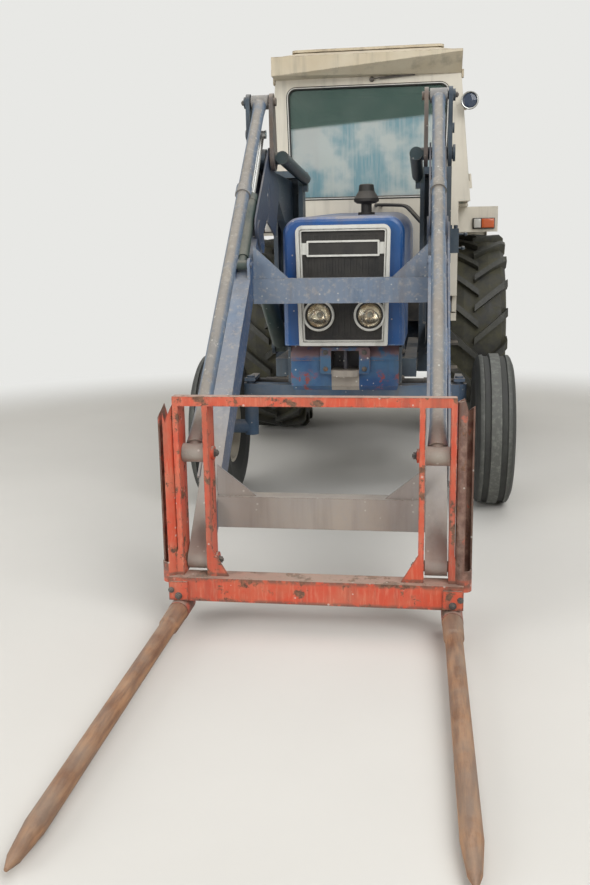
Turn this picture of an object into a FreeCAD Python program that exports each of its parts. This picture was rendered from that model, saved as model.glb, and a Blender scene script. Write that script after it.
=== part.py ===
# Farm tractor with a cab and a front loader that carries a two-tine bale fork.
# Millimetres, +Z up, the front of the machine faces -Y, +X is its left side.
# Side views are drawn as (y, z) with y measured from the front axle line,
# and everything is moved at the end so that the origin is under the middle.
import FreeCAD
import Part
import math
import os

V = FreeCAD.Vector

# Fits and gaps that the whole machine shares
seat_gap = 0.3
pin_fit = 0.3
hub_fit = 0.3
side_play = 1.5

# Running gear
wheelbase = 2210.0
front_tyre_radius = 405.0
front_tyre_width = 205.0
front_track_half = 746.0
front_rim_radius = 203.0
rear_tyre_radius = 737.0
rear_tyre_width = 430.0
rear_track_half = 735.0
rear_rim_radius = 381.0
lug_height = 38.0
lug_count = 20
lug_width = 44.0
lug_slant = 42.0
rib_height = 14.0

# Front axle and steering
kingpin_x = 570.0
kingpin_radius = 22.0
axle_beam_low = 560.0
axle_beam_high = 645.0
axle_beam_depth = 90.0
axle_eye_radius = 40.0
steer_arm_reach = 165.0
steer_arm_z = 672.0
steer_arm_thickness = 18.0
steer_ball_radius = 9.0
tie_rod_radius = 14.0
tie_rod_drop = 30.0
spindle_radius = 26.0

# Front support casting
nose_half = 262.0
nose_front = -556.0
nose_low = 690.0
nose_top = 913.7
nose_ledge = 838.0
nose_corner = 52.0

# Engine, gearbox and rear axle
engine_half = 170.0
engine_front = 360.0
engine_rear = 960.0
engine_low = 560.0
engine_deck = 1000.0
head_half = 120.0
head_top = 1150.0
radiator_half = 215.0
radiator_front = 40.0
radiator_rear = 130.0
radiator_low = nose_top - 45.0
radiator_top = 1400.0
fan_z = 1100.0
gearbox_half = 165.0
gearbox_low = 470.0
gearbox_rear = wheelbase + 260.0
trumpet_radius = 85.0

# Rear linkage
drawbar_hole_y = wheelbase + 640.0
drawbar_hole_radius = 16.0
drawbar_low = 400.0
drawbar_thickness = 35.0
lower_link_root = (wheelbase + 90.0, 520.0)
lower_link_end = (wheelbase + 800.0, 480.0)
lower_link_x = 330.0
lower_link_thickness = 24.0
link_eye_radius = 14.35
lift_shaft = (wheelbase + 235.0, 850.0)
lift_arm_end = (wheelbase + 520.0, 872.0)
lift_arm_x = 238.0
top_link_root = (gearbox_rear + 30.0, 770.0)
top_link_end = (wheelbase + 760.0, 800.0)
pto_radius = 17.45
pto_length = 80.0
pto_end = gearbox_rear + pto_length
pto_z = 620.0

# Loader pivots in the side view
boom_pin = (-239.0, 1817.0)
rocker_pin = (-267.0, 2081.0)
fork_pin = (-1770.0, 235.0)
link_pin = (-1787.0, 645.0)
lift_base_pin = (250.0, 830.0)
lift_boom_pin = (-545.0, 1392.0)
tilt_rocker_pin = (-252.0, 1932.0)
tilt_boom_pin = (-830.0, 1300.0)

# Loader sections
arm_x = 435.0
boom_width = 80.0
cheek_thickness = 8.0
rocker_gap = 95.0
rocker_thickness = 20.0
pivot_radius = 30.0
pin_radius = 20.0
link_radius = 29.0
link_boss_radius = 34.0
collar_radius = 36.0
tower_web = 44.0
tower_column_front = 600.0
tower_column_depth = 120.0
tower_column_half = 90.0
tower_column_foot = 640.0
tower_column_top = 1830.0
tower_lip = 26.0
head_plate_top = 1772.0
brace_offset = 105.0
brace_radius = 32.0
side_rail_inner = 285.0
side_rail_outer = 345.0
side_rail_low = 752.0
side_rail_high = 842.0
lift_barrel_radius = 45.0
lift_rod_radius = 22.0
lift_barrel_length = 700.0
lift_rod_start = 110.0
tilt_barrel_radius = 25.0
tilt_pin_radius = 13.0
tilt_rod_radius = 15.0
tilt_barrel_length = 430.0
tilt_rod_start = 190.0
pipe_radius = 7.0
hose_radius = 10.0
hose_bend = 80.0

# Fork carriage and tines
carriage_half = 531.0
carriage_front = -1870.0
post_front = -1842.0
beam_low = 108.0
beam_high = 196.0
beam_depth = 85.0
top_bar_half = 498.0
top_bar_high = 858.0
top_bar_height = 34.0
top_bar_depth = 46.0
angle_thickness = 8.0
post_gap = 87.0
post_thickness = 20.0
post_depth = 95.0
edge_pipe_x = 530.0
edge_pipe_y = -1825.0
edge_pipe_radius = 30.0
edge_pipe_wall = 6.0
tine_x = 493.0
tine_radius = 28.0
tine_sleeve_radius = 37.0
tine_sleeve_length = 120.0
tine_taper = 150.0
tine_reach_image_left = 1395.0
tine_reach_image_right = 1330.0
tine_axis_z = 74.0
tine_tip_z = 30.0
tine_root_radius = 29.0
socket_wall = 9.0
socket_stand_out = 22.0

# Bonnet and grille
hood_front = -590.0
hood_half = 286.0
hood_half_rear = 297.0
hood_top = 1512.0
hood_top_rear = 1606.0
hood_corner = 80.0
hood_corner_rear = 120.0
hood_sheet = 6.0
hood_side_low = nose_top + seat_gap
hood_engine_low = 1120.0
hood_engine_front = 120.0
nose_depth = 40.0
surround_half_top = 223.0
surround_half_low = 210.0
surround_top = 1475.0
surround_low = nose_top + seat_gap
surround_corner = 34.0
surround_bar = 17.0
surround_front = -616.0
mesh_front = -596.0
mesh_sheet = 8.0
mesh_pitch = 28.5
headlamp_x = 121.0
headlamp_z = 1058.0
headlamp_radius = 56.0
bucket_radius = 64.0
bezel_radius = 75.0
plate_half = 171.0
plate_low = 1331.0
plate_high = 1405.0

# Cab
fender_top = 2 * rear_tyre_radius + 176.0
cab_waist = fender_top + 15.0
cab_front = wheelbase - 1040.0
cab_rear = wheelbase + 430.0
hood_rear = cab_front - seat_gap
cab_wall = 36.0
front_wall_depth = 44.0
cab_half_top = 588.0
cab_half_waist = 660.0
cab_half_low = 586.0
cab_eave = 2440.0
cab_sill = 900.0
front_wall_low = 1065.0
floor_z = cab_sill
floor_sheet = 30.0
roof_overhang = 150.0
roof_rear_overhang = 60.0
roof_half = 590.0
roof_edge = cab_eave + 112.0
roof_shoulder = cab_eave + 158.0
roof_crown = cab_eave + 172.0
visor_low_left = cab_eave + 98.0
screen_half_top = cab_half_top - 76.0
screen_half_low = cab_half_waist - 168.0
screen_low = cab_waist + 35.0
screen_high = cab_eave - 55.0
screen_corner = 55.0
rear_screen_low = cab_waist - 105.0
rear_screen_inset = 20.0
glass_thickness = 6.0
glass_inset = 12.0
door_front = cab_front + front_wall_depth
door_rear = wheelbase - 130.0
door_thickness = 30.0
door_gap = 8.0
door_head = cab_eave - 70.0
pane_margin = 62.0
hinge_offset = 11.0
hinge_radius = 8.5
hinge_length = 45.0
hinge_play = 0.45
hinge_heights = (cab_waist + 125.0, cab_waist + 605.0)
quarter_margin = 60.0
fender_front = wheelbase - 570.0
fender_rear = wheelbase + 620.0
fender_wall_front = fender_front - 70.0
fender_inner = 500.0
fender_outer = 870.0
fender_sheet = 8.0
fender_skirt = fender_top - 170.0
jamb_rear = fender_front - 164.0
jamb_depth = 28.0
jamb_front = jamb_rear - jamb_depth
ledge_front = jamb_rear + 10.0
work_lamp = (640.0, 1085.0, 2262.0)

# Inside the cab
hump_front = wheelbase - 330.0
hump_top = floor_z + 250.0
console_rear = door_front + 116.0
console_low = cab_waist - 330.0
console_top = cab_waist - 25.0
wheel_centre = (console_rear + 205.0, cab_waist - 45.0)
steering_wheel_radius = 195.0
seat_front = hump_front + 40.0
seat_rear = seat_front + 460.0
cushion_top = hump_top + 140.0

os.makedirs("parts", exist_ok=True)
shapes = {}


def box(x0, x1, y0, y1, z0, z1):
    return Part.makeBox(x1 - x0, y1 - y0, z1 - z0, V(x0, y0, z0))


def side_box(side, x0, x1, y0, y1, z0, z1):
    # a box on the machine's left (side 1) or right (side -1)
    return box(min(side * x0, side * x1), max(side * x0, side * x1), y0, y1, z0, z1)


def cyl(radius, start, end):
    axis = end.sub(start)
    return Part.makeCylinder(radius, axis.Length, start, axis)


def cyl_x(radius, x0, x1, y, z):
    return cyl(radius, V(min(x0, x1), y, z), V(max(x0, x1), y, z))


def cone(radius0, radius1, start, end):
    axis = end.sub(start)
    return Part.makeCone(radius0, radius1, axis.Length, start, axis)


def face_of(points):
    return Part.Face(Part.makePolygon(points + [points[0]]))


def side_plate(profile, x0, x1):
    points = [V(x0, y, z) for y, z in profile]
    return face_of(points).extrude(V(x1 - x0, 0, 0))


def front_plate(profile, y0, y1):
    points = [V(x, y0, z) for x, z in profile]
    return face_of(points).extrude(V(0, y1 - y0, 0))


def plan_plate(profile, z0, z1):
    points = [V(x, y, z0) for x, y in profile]
    return face_of(points).extrude(V(0, 0, z1 - z0))


def rounded_wire(points, radii):
    # a closed outline whose corners are arcs, one radius for each corner
    starts = []
    middles = []
    ends = []
    count = len(points)
    for index in range(count):
        corner = points[index]
        before = points[index - 1].sub(corner)
        after = points[(index + 1) % count].sub(corner)
        before.normalize()
        after.normalize()
        half_angle = before.getAngle(after) / 2
        cut = radii[index] / math.tan(half_angle)
        inward = before.add(after)
        inward.normalize()
        starts.append(corner.add(before * cut))
        ends.append(corner.add(after * cut))
        middles.append(corner.add(inward * (radii[index] / math.sin(half_angle) - radii[index])))
    edges = []
    for index in range(count):
        if radii[index] > 0:
            edges.append(Part.Arc(starts[index], middles[index], ends[index]).toShape())
        edges.append(Part.makeLine(ends[index], starts[(index + 1) % count]))
    return Part.Wire(edges)


def rounded_front(profile, radii, y0, y1):
    wire = rounded_wire([V(x, y0, z) for x, z in profile], radii)
    return Part.Face(wire).extrude(V(0, y1 - y0, 0))


def rounded_side(profile, radii, x0, x1):
    wire = rounded_wire([V(x0, y, z) for y, z in profile], radii)
    return Part.Face(wire).extrude(V(x1 - x0, 0, 0))


def rounded_plan(profile, radii, z0, z1):
    wire = rounded_wire([V(x, y, z0) for x, y in profile], radii)
    return Part.Face(wire).extrude(V(0, 0, z1 - z0))


def union(solids):
    whole = solids[0]
    if len(solids) > 1:
        whole = whole.fuse(solids[1:])
    return whole.removeSplitter()


def group(solids):
    return Part.makeCompound(solids)


def mirrored(shape):
    return shape.mirror(V(0, 0, 0), V(1, 0, 0))


def both(shape):
    return group([shape, mirrored(shape)])


def between(p, q, share):
    return (p[0] + share * (q[0] - p[0]), p[1] + share * (q[1] - p[1]))


def distance(p, q):
    return math.hypot(q[0] - p[0], q[1] - p[1])


def revolved_x(profile, axis_y, axis_z):
    # profile is (x, radius) round a lateral axis
    points = [V(x, axis_y, axis_z + r) for x, r in profile]
    return face_of(points).revolve(V(0, axis_y, axis_z), V(1, 0, 0), 360)


def revolved_y(profile, axis_x, axis_z):
    # profile is (y, radius) round an axis that runs fore and aft
    points = [V(axis_x + r, y, axis_z) for y, r in profile]
    return face_of(points).revolve(V(axis_x, 0, axis_z), V(0, 1, 0), 360)


def revolved_z(profile, axis_x, axis_y):
    # profile is (z, radius) round an upright axis
    points = [V(axis_x + r, axis_y, z) for z, r in profile]
    return face_of(points).revolve(V(axis_x, axis_y, 0), V(0, 0, 1), 360)


def plate_with_eyes(p, q, radius_p, radius_q, x0, x1):
    # a flat bar with round ends about two pins
    length = distance(p, q)
    along = ((q[0] - p[0]) / length, (q[1] - p[1]) / length)
    across = (-along[1], along[0])
    lean = (radius_p - radius_q) / length
    edge = math.sqrt(1 - lean * lean)
    corners = []
    for centre, radius, side in ((p, radius_p, 1), (q, radius_q, 1),
                                 (q, radius_q, -1), (p, radius_p, -1)):
        corners.append((centre[0] + radius * (lean * along[0] + side * edge * across[0]),
                        centre[1] + radius * (lean * along[1] + side * edge * across[1])))
    return union([side_plate(corners, x0, x1),
                  cyl_x(radius_p, x0, x1, p[0], p[1]),
                  cyl_x(radius_q, x0, x1, q[0], q[1])])


def bent_tube(points, radius, bend):
    # straight runs joined by tangent arcs
    pieces = []
    start = points[0]
    for index in range(1, len(points) - 1):
        corner = points[index]
        ahead = corner.sub(start)
        ahead.normalize()
        away = points[index + 1].sub(corner)
        away.normalize()
        turn = ahead.getAngle(away)
        cut = bend * math.tan(turn / 2)
        arc_start = corner.sub(ahead * cut)
        pieces.append(cyl(radius, start, arc_start))
        inward = away.sub(ahead * ahead.dot(away))
        inward.normalize()
        ring = Part.Face(Part.Wire(Part.makeCircle(radius, arc_start, ahead)))
        pieces.append(ring.revolve(arc_start.add(inward * bend), ahead.cross(away),
                                   math.degrees(turn)))
        start = corner.add(away * cut)
    pieces.append(cyl(radius, start, points[-1]))
    return union(pieces)


# Rear tyre: a revolved carcass with raised bars in two slanted rows
def rear_tyre(centre_x):
    half = rear_tyre_width / 2
    skin = rear_tyre_radius - lug_height
    bead = rear_rim_radius
    section = [(-half * 0.80, bead), (-half * 0.97, bead + 95), (-half, bead + 180),
               (-half * 0.95, skin - 62), (-half * 0.80, skin - 18), (-half * 0.4, skin - 3),
               (half * 0.4, skin - 3), (half * 0.80, skin - 18), (half * 0.95, skin - 62),
               (half, bead + 180), (half * 0.97, bead + 95), (half * 0.80, bead)]
    carcass = revolved_x(section, wheelbase, rear_tyre_radius)
    slope = math.tan(math.radians(lug_slant))
    inner = 14.0
    reach = half * 1.1
    root = lug_width / 2
    end = lug_width * 0.62
    lug = plan_plate([(-inner, wheelbase - root), (reach, wheelbase - end + reach * slope),
                      (reach, wheelbase + end + reach * slope), (-inner, wheelbase + root)],
                     rear_tyre_radius + skin - 200, rear_tyre_radius * 2 + 10)
    band = [(-inner, skin - 24), (half * 0.95, skin - 84), (half, skin - 70), (half, skin + 6),
            (half * 0.86, rear_tyre_radius - 5), (-inner, rear_tyre_radius)]
    bar = lug.common(revolved_x(band, wheelbase, rear_tyre_radius))
    lugs = []
    step = 360.0 / lug_count
    for index in range(lug_count):
        left = bar.copy()
        left.rotate(V(0, wheelbase, rear_tyre_radius), V(1, 0, 0), index * step)
        right = mirrored(bar)
        right.rotate(V(0, wheelbase, rear_tyre_radius), V(1, 0, 0), (index + 0.5) * step)
        lugs.extend([left, right])
    tyre = union([carcass] + lugs)
    tyre.translate(V(centre_x, 0, 0))
    return tyre


def rear_rim(side):
    # dish, rim, hub and the lugs that clamp the rim to the dish, in one pressing
    half = rear_tyre_width / 2
    outer = rear_rim_radius - 0.3
    well = rear_rim_radius - 44
    rim = revolved_x([(-half * 0.80, outer), (-half * 0.80, outer - 26), (-half * 0.5, well),
                      (half * 0.5, well), (half * 0.80, outer - 26), (half * 0.80, outer)],
                     wheelbase, rear_tyre_radius)
    dish = revolved_x([(-20, 60), (-20, 130), (-60, 200), (-60, well + 2), (-48, well + 2),
                       (-48, 204), (-6, 132), (-6, 60)], wheelbase, rear_tyre_radius)
    hub = revolved_x([(-26, 0), (-26, 92), (14, 92), (14, 70), (60, 62), (60, 0)], wheelbase,
                     rear_tyre_radius)
    clamps = []
    for index in range(8):
        clamp = box(-52, 10, wheelbase - 26, wheelbase + 26, rear_tyre_radius + well - 34,
                    rear_tyre_radius + well + 4)
        clamp.rotate(V(0, wheelbase, rear_tyre_radius), V(1, 0, 0), (index + 0.5) * 45)
        clamps.append(clamp)
    wheel = union([rim, dish, hub] + clamps)
    if side < 0:
        wheel = mirrored(wheel)
    wheel.translate(V(side * rear_track_half, 0, 0))
    return wheel


# Front tyre: a wide rib in the middle and a narrow one on each shoulder
def front_tyre(centre_x):
    half = front_tyre_width / 2
    top = front_tyre_radius
    base = top - rib_height
    bead = front_rim_radius
    section = [(-half * 0.68, bead), (-half * 0.93, bead + 50), (-half, bead + 105)]
    section.extend([(-half * 0.95, base - 34), (-half * 0.84, base - 6), (-half * 0.76, top - 9),
                    (-half * 0.58, top - 5), (-half * 0.53, base), (-half * 0.28, base),
                    (-half * 0.24, top)])
    section.extend([(-x, r) for x, r in reversed(section)])
    tyre = revolved_x(section, 0, top)
    tyre.translate(V(centre_x, 0, 0))
    return tyre


def front_rim(side):
    half = front_tyre_width / 2
    outer = front_rim_radius - 0.3
    inner = spindle_radius + hub_fit
    rim = revolved_x([(-half * 0.68, outer), (-half * 0.68, outer - 20), (-half * 0.40, outer - 34),
                      (half * 0.40, outer - 34), (half * 0.68, outer - 20), (half * 0.68, outer)],
                     0, front_tyre_radius)
    dish = revolved_x([(-8, 50), (-8, 90), (22, 120), (22, outer - 32), (30, outer - 32),
                       (30, 116), (0, 84), (0, 50)], 0, front_tyre_radius)
    hub = revolved_x([(-60, inner), (-60, 52), (10, 56), (10, 46), (60, 42), (74, 34), (74, 0),
                      (62, 0), (62, inner)], 0, front_tyre_radius)
    wheel = union([rim, dish, hub])
    if side < 0:
        wheel = mirrored(wheel)
    wheel.translate(V(side * front_track_half, 0, 0))
    return wheel


shapes["rear_tyre_left"] = rear_tyre(rear_track_half)
shapes["rear_tyre_right"] = mirrored(shapes["rear_tyre_left"])
shapes["rear_rim_left"] = rear_rim(1)
shapes["rear_rim_right"] = rear_rim(-1)
shapes["front_tyre_left"] = front_tyre(front_track_half)
shapes["front_tyre_right"] = mirrored(shapes["front_tyre_left"])
shapes["front_rim_left"] = front_rim(1)
shapes["front_rim_right"] = front_rim(-1)

# Front axle beam with a trunnion in the middle and an eye at each end
axle_waist = 320.0
beam_profile = [(-kingpin_x, axle_beam_low + 20), (-axle_waist, axle_beam_low),
                (axle_waist, axle_beam_low), (kingpin_x, axle_beam_low + 20),
                (kingpin_x, axle_beam_high + 5), (axle_waist, axle_beam_high),
                (-axle_waist, axle_beam_high), (-kingpin_x, axle_beam_high + 5)]
front_beam = front_plate(beam_profile, -axle_beam_depth / 2, axle_beam_depth / 2)
for side in (-1, 1):
    x = side * kingpin_x
    eye = cyl(axle_eye_radius, V(x, 0, axle_beam_low - 14), V(x, 0, axle_beam_high + 6))
    bore = cyl(kingpin_radius + pin_fit, V(x, 0, axle_beam_low - 60), V(x, 0, axle_beam_high + 60))
    front_beam = front_beam.fuse(eye).cut(bore)
shapes["front_axle"] = front_beam.removeSplitter()


def knuckle(side):
    # kingpin through the beam's eye, spindle outboard and steering arm on top
    x = side * kingpin_x
    pin = cyl(kingpin_radius, V(x, 0, front_tyre_radius - 30), V(x, 0, steer_arm_z + 20))
    post = cyl(axle_eye_radius - 2, V(x, 0, front_tyre_radius - 44), V(x, 0, axle_beam_low - 16))
    spindle = cyl_x(spindle_radius, x + side * 20, side * (front_track_half + 60), 0,
                    front_tyre_radius)
    shoulder = cyl_x(38, x, side * (front_track_half - 64), 0, front_tyre_radius)
    arm = plan_plate([(x - 30, -34), (x + 30, -34), (x + 18, steer_arm_reach + 16),
                      (x - 18, steer_arm_reach + 16)], steer_arm_z - steer_arm_thickness / 2,
                     steer_arm_z + steer_arm_thickness / 2)
    ball = cyl(steer_ball_radius, V(x, steer_arm_reach, steer_arm_z - 42),
               V(x, steer_arm_reach, steer_arm_z))
    return union([pin, post, spindle, shoulder, arm, ball])


shapes["knuckle_left"] = knuckle(1)
shapes["knuckle_right"] = knuckle(-1)
rod_z = steer_arm_z - tie_rod_drop
tie_rod = cyl_x(tie_rod_radius, -kingpin_x + 16, kingpin_x - 16, steer_arm_reach, rod_z)
for side in (-1, 1):
    x = side * kingpin_x
    eye = cyl(21, V(x, steer_arm_reach, rod_z - 16), V(x, steer_arm_reach, rod_z + 16))
    sleeve = cyl_x(tie_rod_radius + 5, x - side * 60, x - side * 190, steer_arm_reach, rod_z)
    hole = cyl(steer_ball_radius + pin_fit, V(x, steer_arm_reach, rod_z - 40),
               V(x, steer_arm_reach, rod_z + 40))
    tie_rod = tie_rod.fuse([eye, sleeve]).cut(hole)
shapes["tie_rod"] = tie_rod.removeSplitter()

# Front support casting: a ledge at its nose, rounded lower corners and a framed tow pocket
saddle_z = axle_beam_high + seat_gap
support_side = [(nose_front + 8, 712), (nose_front + 30, nose_low), (-200, nose_low),
                (-110, saddle_z), (70, saddle_z), (95, nose_low), (engine_front, nose_low),
                (engine_front, nose_top), (nose_front + 34, nose_top),
                (nose_front + 2, nose_ledge + 14), (nose_front + 2, nose_ledge),
                (nose_front + 8, nose_ledge)]
support = side_plate(support_side, -nose_half, nose_half)
support_front = rounded_front([(-nose_half, saddle_z - 5), (nose_half, saddle_z - 5),
                               (nose_half, nose_top), (-nose_half, nose_top)],
                              [nose_corner + 40, nose_corner + 40, 12, 12], nose_front - 10,
                              engine_front + 10)
support = support.common(support_front)
pocket = box(-64, 72, nose_front - 20, -430, 792, 886)
support = support.cut(pocket)
support = support.cut(box(-200, 200, radiator_rear, engine_front + 1, nose_low + 30,
                          nose_top + 10))
support = support.cut(box(-100, 100, 268, engine_front + 1, axle_beam_low, nose_low + 40))
support = support.cut(box(-radiator_half - 1, radiator_half + 1, radiator_front - 1,
                          radiator_rear + 1, radiator_low - seat_gap, nose_top + 10))
tow_frame = rounded_front([(-116, 774), (124, 774), (124, 902), (-116, 902)], [14, 14, 14, 14],
                          nose_front - 12, nose_front + 20).cut(pocket)
tow_pin = cyl(12, V(4, nose_front + 30, 760), V(4, nose_front + 30, 900))
tongue = rounded_plan([(-62, nose_front + 80), (-62, nose_front - 40), (70, nose_front - 40),
                       (70, nose_front + 80)], [0, 38, 38, 0], 762, 794)
shapes["front_support"] = union([support, tow_frame, tow_pin, tongue])

# Engine with its open sides: manifolds, pump, filters, dynamo, starter, fan and radiator
block = side_plate([(engine_front, engine_low), (engine_rear, engine_low),
                    (engine_rear, engine_deck), (engine_front, engine_deck)], -engine_half,
                   engine_half)
sump = side_plate([(engine_front + 20, engine_low + 2), (engine_front + 60, engine_low - 80),
                   (engine_rear - 60, engine_low - 80), (engine_rear - 20, engine_low + 2)],
                  -engine_half + 35, engine_half - 35)
head = box(-head_half, head_half, engine_front + 15, engine_rear - 15, engine_deck, head_top)
valve_cover = rounded_front([(-85, head_top), (85, head_top), (85, head_top + 75),
                             (-85, head_top + 75)], [0, 0, 30, 30], engine_front + 30,
                            engine_rear - 30)
radiator = box(-radiator_half, radiator_half, radiator_front, radiator_rear, radiator_low,
               radiator_top)
top_tank = rounded_side([(radiator_front + 5, radiator_top), (radiator_rear - 5, radiator_top),
                         (radiator_rear - 5, radiator_top + 50),
                         (radiator_front + 5, radiator_top + 50)], [0, 0, 20, 20],
                        -radiator_half + 10, radiator_half - 10)
shroud = revolved_y([(radiator_rear, 205), (radiator_rear, 212), (radiator_rear + 60, 202),
                     (radiator_rear + 60, 195)], 0, fan_z)
fan_shaft = cyl(24, V(0, radiator_rear, fan_z), V(0, engine_front + 20, fan_z))
fan_pulley = cyl(78, V(0, 280, fan_z), V(0, 312, fan_z))
crank_pulley = cyl(92, V(0, 280, 690), V(0, 312, 690))
crank_nose = cyl(30, V(0, 300, 690), V(0, engine_front + 5, 690))
engine = [block, sump, head, valve_cover, radiator, top_tank, shroud, fan_shaft, fan_pulley,
          crank_pulley, crank_nose]
for index in range(6):
    blade = box(20, 185, 176, 182, fan_z - 34, fan_z + 34)
    blade.rotate(V(0, 179, fan_z), V(1, 0, 0), 24)
    blade.rotate(V(0, 179, fan_z), V(0, 1, 0), index * 60)
    engine.append(blade)
exhaust_x = 168.0
intake_x = -160.0
engine.append(cyl(32, V(exhaust_x, engine_front + 40, 1085), V(exhaust_x, engine_rear - 30, 1085)))
engine.append(cyl(27, V(intake_x, engine_front + 60, 1098), V(intake_x, engine_rear - 60, 1098)))
for index in range(4):
    y = engine_front + 90 + index * 140
    engine.append(cyl_x(23, head_half - 4, exhaust_x, y, 1085))
    engine.append(cyl_x(19, intake_x, -head_half + 4, y + 20, 1098))
    engine.append(cyl(3.5, V(-212, engine_front + 78 + index * 30, 896),
                      V(-head_half + 2, y, 1132)))
engine.append(bent_tube([V(exhaust_x, engine_rear - 60, 1085), V(232, engine_rear - 60, 1085),
                         V(232, engine_rear - 60, 420), V(232, engine_rear + 520, 420)], 26, 60))
engine.append(side_box(1, engine_half - 2, 232, engine_rear - 80, engine_rear - 40, 600, 625))
# columns: side, radius, y from, y to, x, z of parts that lie along the engine
for side, radius, y0, y1, x, z in ((1, 58, 395, 530, 222, 925), (1, 34, 377, 397, 222, 925),
                                   (1, 41, 730, 930, 205, 700), (-1, 46, 400, 560, 212, 850)):
    engine.append(cyl(radius, V(side * x, engine_front - 360 + y0, z),
                      V(side * x, engine_front - 360 + y1, z)))
engine.append(side_box(-1, engine_half - 2, 240, engine_front + 50, engine_front + 190, 862, 900))
engine.append(side_box(-1, engine_half - 2, 250, engine_front + 230, engine_front + 400, 1000, 1030))
for y in (engine_front + 275, engine_front + 360):
    engine.append(revolved_z([(862, 0), (862, 28), (874, 38), (1002, 38), (1002, 0)], -210, y))
engine.append(revolved_z([(560, 0), (560, 44), (720, 44), (720, 0)], -205, engine_rear - 90))
engine.append(side_box(-1, engine_half - 2, 215, engine_rear - 130, engine_rear - 50, 715, 760))
engine.append(cyl(23, V(0, radiator_rear - 10, radiator_top - 30),
                  V(0, engine_front + 60, head_top - 40)))
engine.append(cyl(21, V(-130, radiator_rear - 10, 905), V(-130, engine_front + 10, 850)))
shapes["engine"] = union(engine)

# Clutch housing, gearbox, rear axle with its trumpets, and the power take-off shaft
gearbox_step = wheelbase - 310.0
gearbox_deck = wheelbase - 170.0
gearbox = side_plate([(engine_rear, engine_low), (gearbox_step, 500), (gearbox_deck, gearbox_low),
                      (wheelbase + 190, gearbox_low), (gearbox_rear, engine_low),
                      (gearbox_rear, 800), (wheelbase + 190, 985), (gearbox_deck, engine_deck),
                      (gearbox_step, floor_z - seat_gap), (engine_rear, floor_z - seat_gap)],
                     -gearbox_half, gearbox_half)
flanges = []
for y, low in ((engine_rear, engine_low - 18), (engine_rear + 330, 525), (gearbox_step, 482)):
    flanges.append(rounded_front([(-gearbox_half - 16, low), (gearbox_half + 16, low),
                                  (gearbox_half + 16, floor_z - 12),
                                  (-gearbox_half - 16, floor_z - 12)], [30, 30, 30, 30], y, y + 26))
axle_z = rear_tyre_radius
axle_parts = []
for side in (-1, 1):
    profile = [(gearbox_half - 10, 0), (gearbox_half - 10, 158), (gearbox_half + 20, 158),
               (gearbox_half + 20, 140), (400, 100), (520, trumpet_radius),
               (585, trumpet_radius), (585, trumpet_radius + 25), (610, trumpet_radius + 25),
               (610, trumpet_radius), (640, trumpet_radius), (640, 45),
               (rear_track_half - 26 - hub_fit, 45), (rear_track_half - 26 - hub_fit, 0)]
    axle_parts.append(revolved_x([(side * x, r) for x, r in profile], wheelbase, axle_z))
pto = cyl(pto_radius, V(0, gearbox_rear - 70, pto_z), V(0, pto_end, pto_z))
shapes["transmission"] = union([gearbox, pto] + flanges + axle_parts)

# Bonnet: an open shell with a rounded front edge that rises and widens to the rear


def hood_wire(y, shrink, low):
    share = (y - hood_front) / (hood_rear - hood_front)
    half = hood_half + share * (hood_half_rear - hood_half) - shrink
    top = hood_top + share * (hood_top_rear - hood_top) - shrink
    corner = hood_corner + share * (hood_corner_rear - hood_corner) - shrink
    points = [V(half, y, low), V(half, y, top), V(-half, y, top), V(-half, y, low)]
    edges = []
    turn = corner * math.sqrt(0.5)
    edges.append(Part.makeLine(points[0], V(half, y, top - corner)))
    edges.append(Part.Arc(V(half, y, top - corner),
                          V(half - corner + turn, y, top - corner + turn),
                          V(half - corner, y, top)).toShape())
    edges.append(Part.makeLine(V(half - corner, y, top), V(corner - half, y, top)))
    edges.append(Part.Arc(V(corner - half, y, top),
                          V(corner - half - turn, y, top - corner + turn),
                          V(-half, y, top - corner)).toShape())
    edges.append(Part.makeLine(V(-half, y, top - corner), points[3]))
    edges.append(Part.makeLine(points[3], points[0]))
    return Part.Wire(edges)


hood = Part.makeLoft([hood_wire(hood_front, 20, hood_side_low),
                      hood_wire(hood_front + 5, 9, hood_side_low),
                      hood_wire(hood_front + 18, 0, hood_side_low),
                      hood_wire(hood_rear, 0, hood_side_low)], True, True)
hood_block = hood.copy()
hood_room = Part.makeLoft([hood_wire(hood_front + nose_depth, hood_sheet, hood_side_low - 10),
                           hood_wire(hood_rear + 10, hood_sheet, hood_side_low - 10)], True, True)
hood = hood.cut(hood_room)
hood = hood.cut(box(-hood_half_rear - 10, hood_half_rear + 10, hood_engine_front, hood_rear + 10,
                    hood_side_low - 20, hood_engine_low))

# Grille: a stepped surround with round top corners that carries two lamp bezels
# and a blank plate, in front of a black grille with upright bars


def grille_block(shrink, front, rear):
    corner = surround_corner - shrink
    return rounded_front([(-surround_half_low + shrink, surround_low + shrink),
                          (surround_half_low - shrink, surround_low + shrink),
                          (surround_half_top - shrink, surround_top - shrink),
                          (-surround_half_top + shrink, surround_top - shrink)],
                         [8, 8, max(corner, 6), max(corner, 6)], front, rear)


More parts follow.
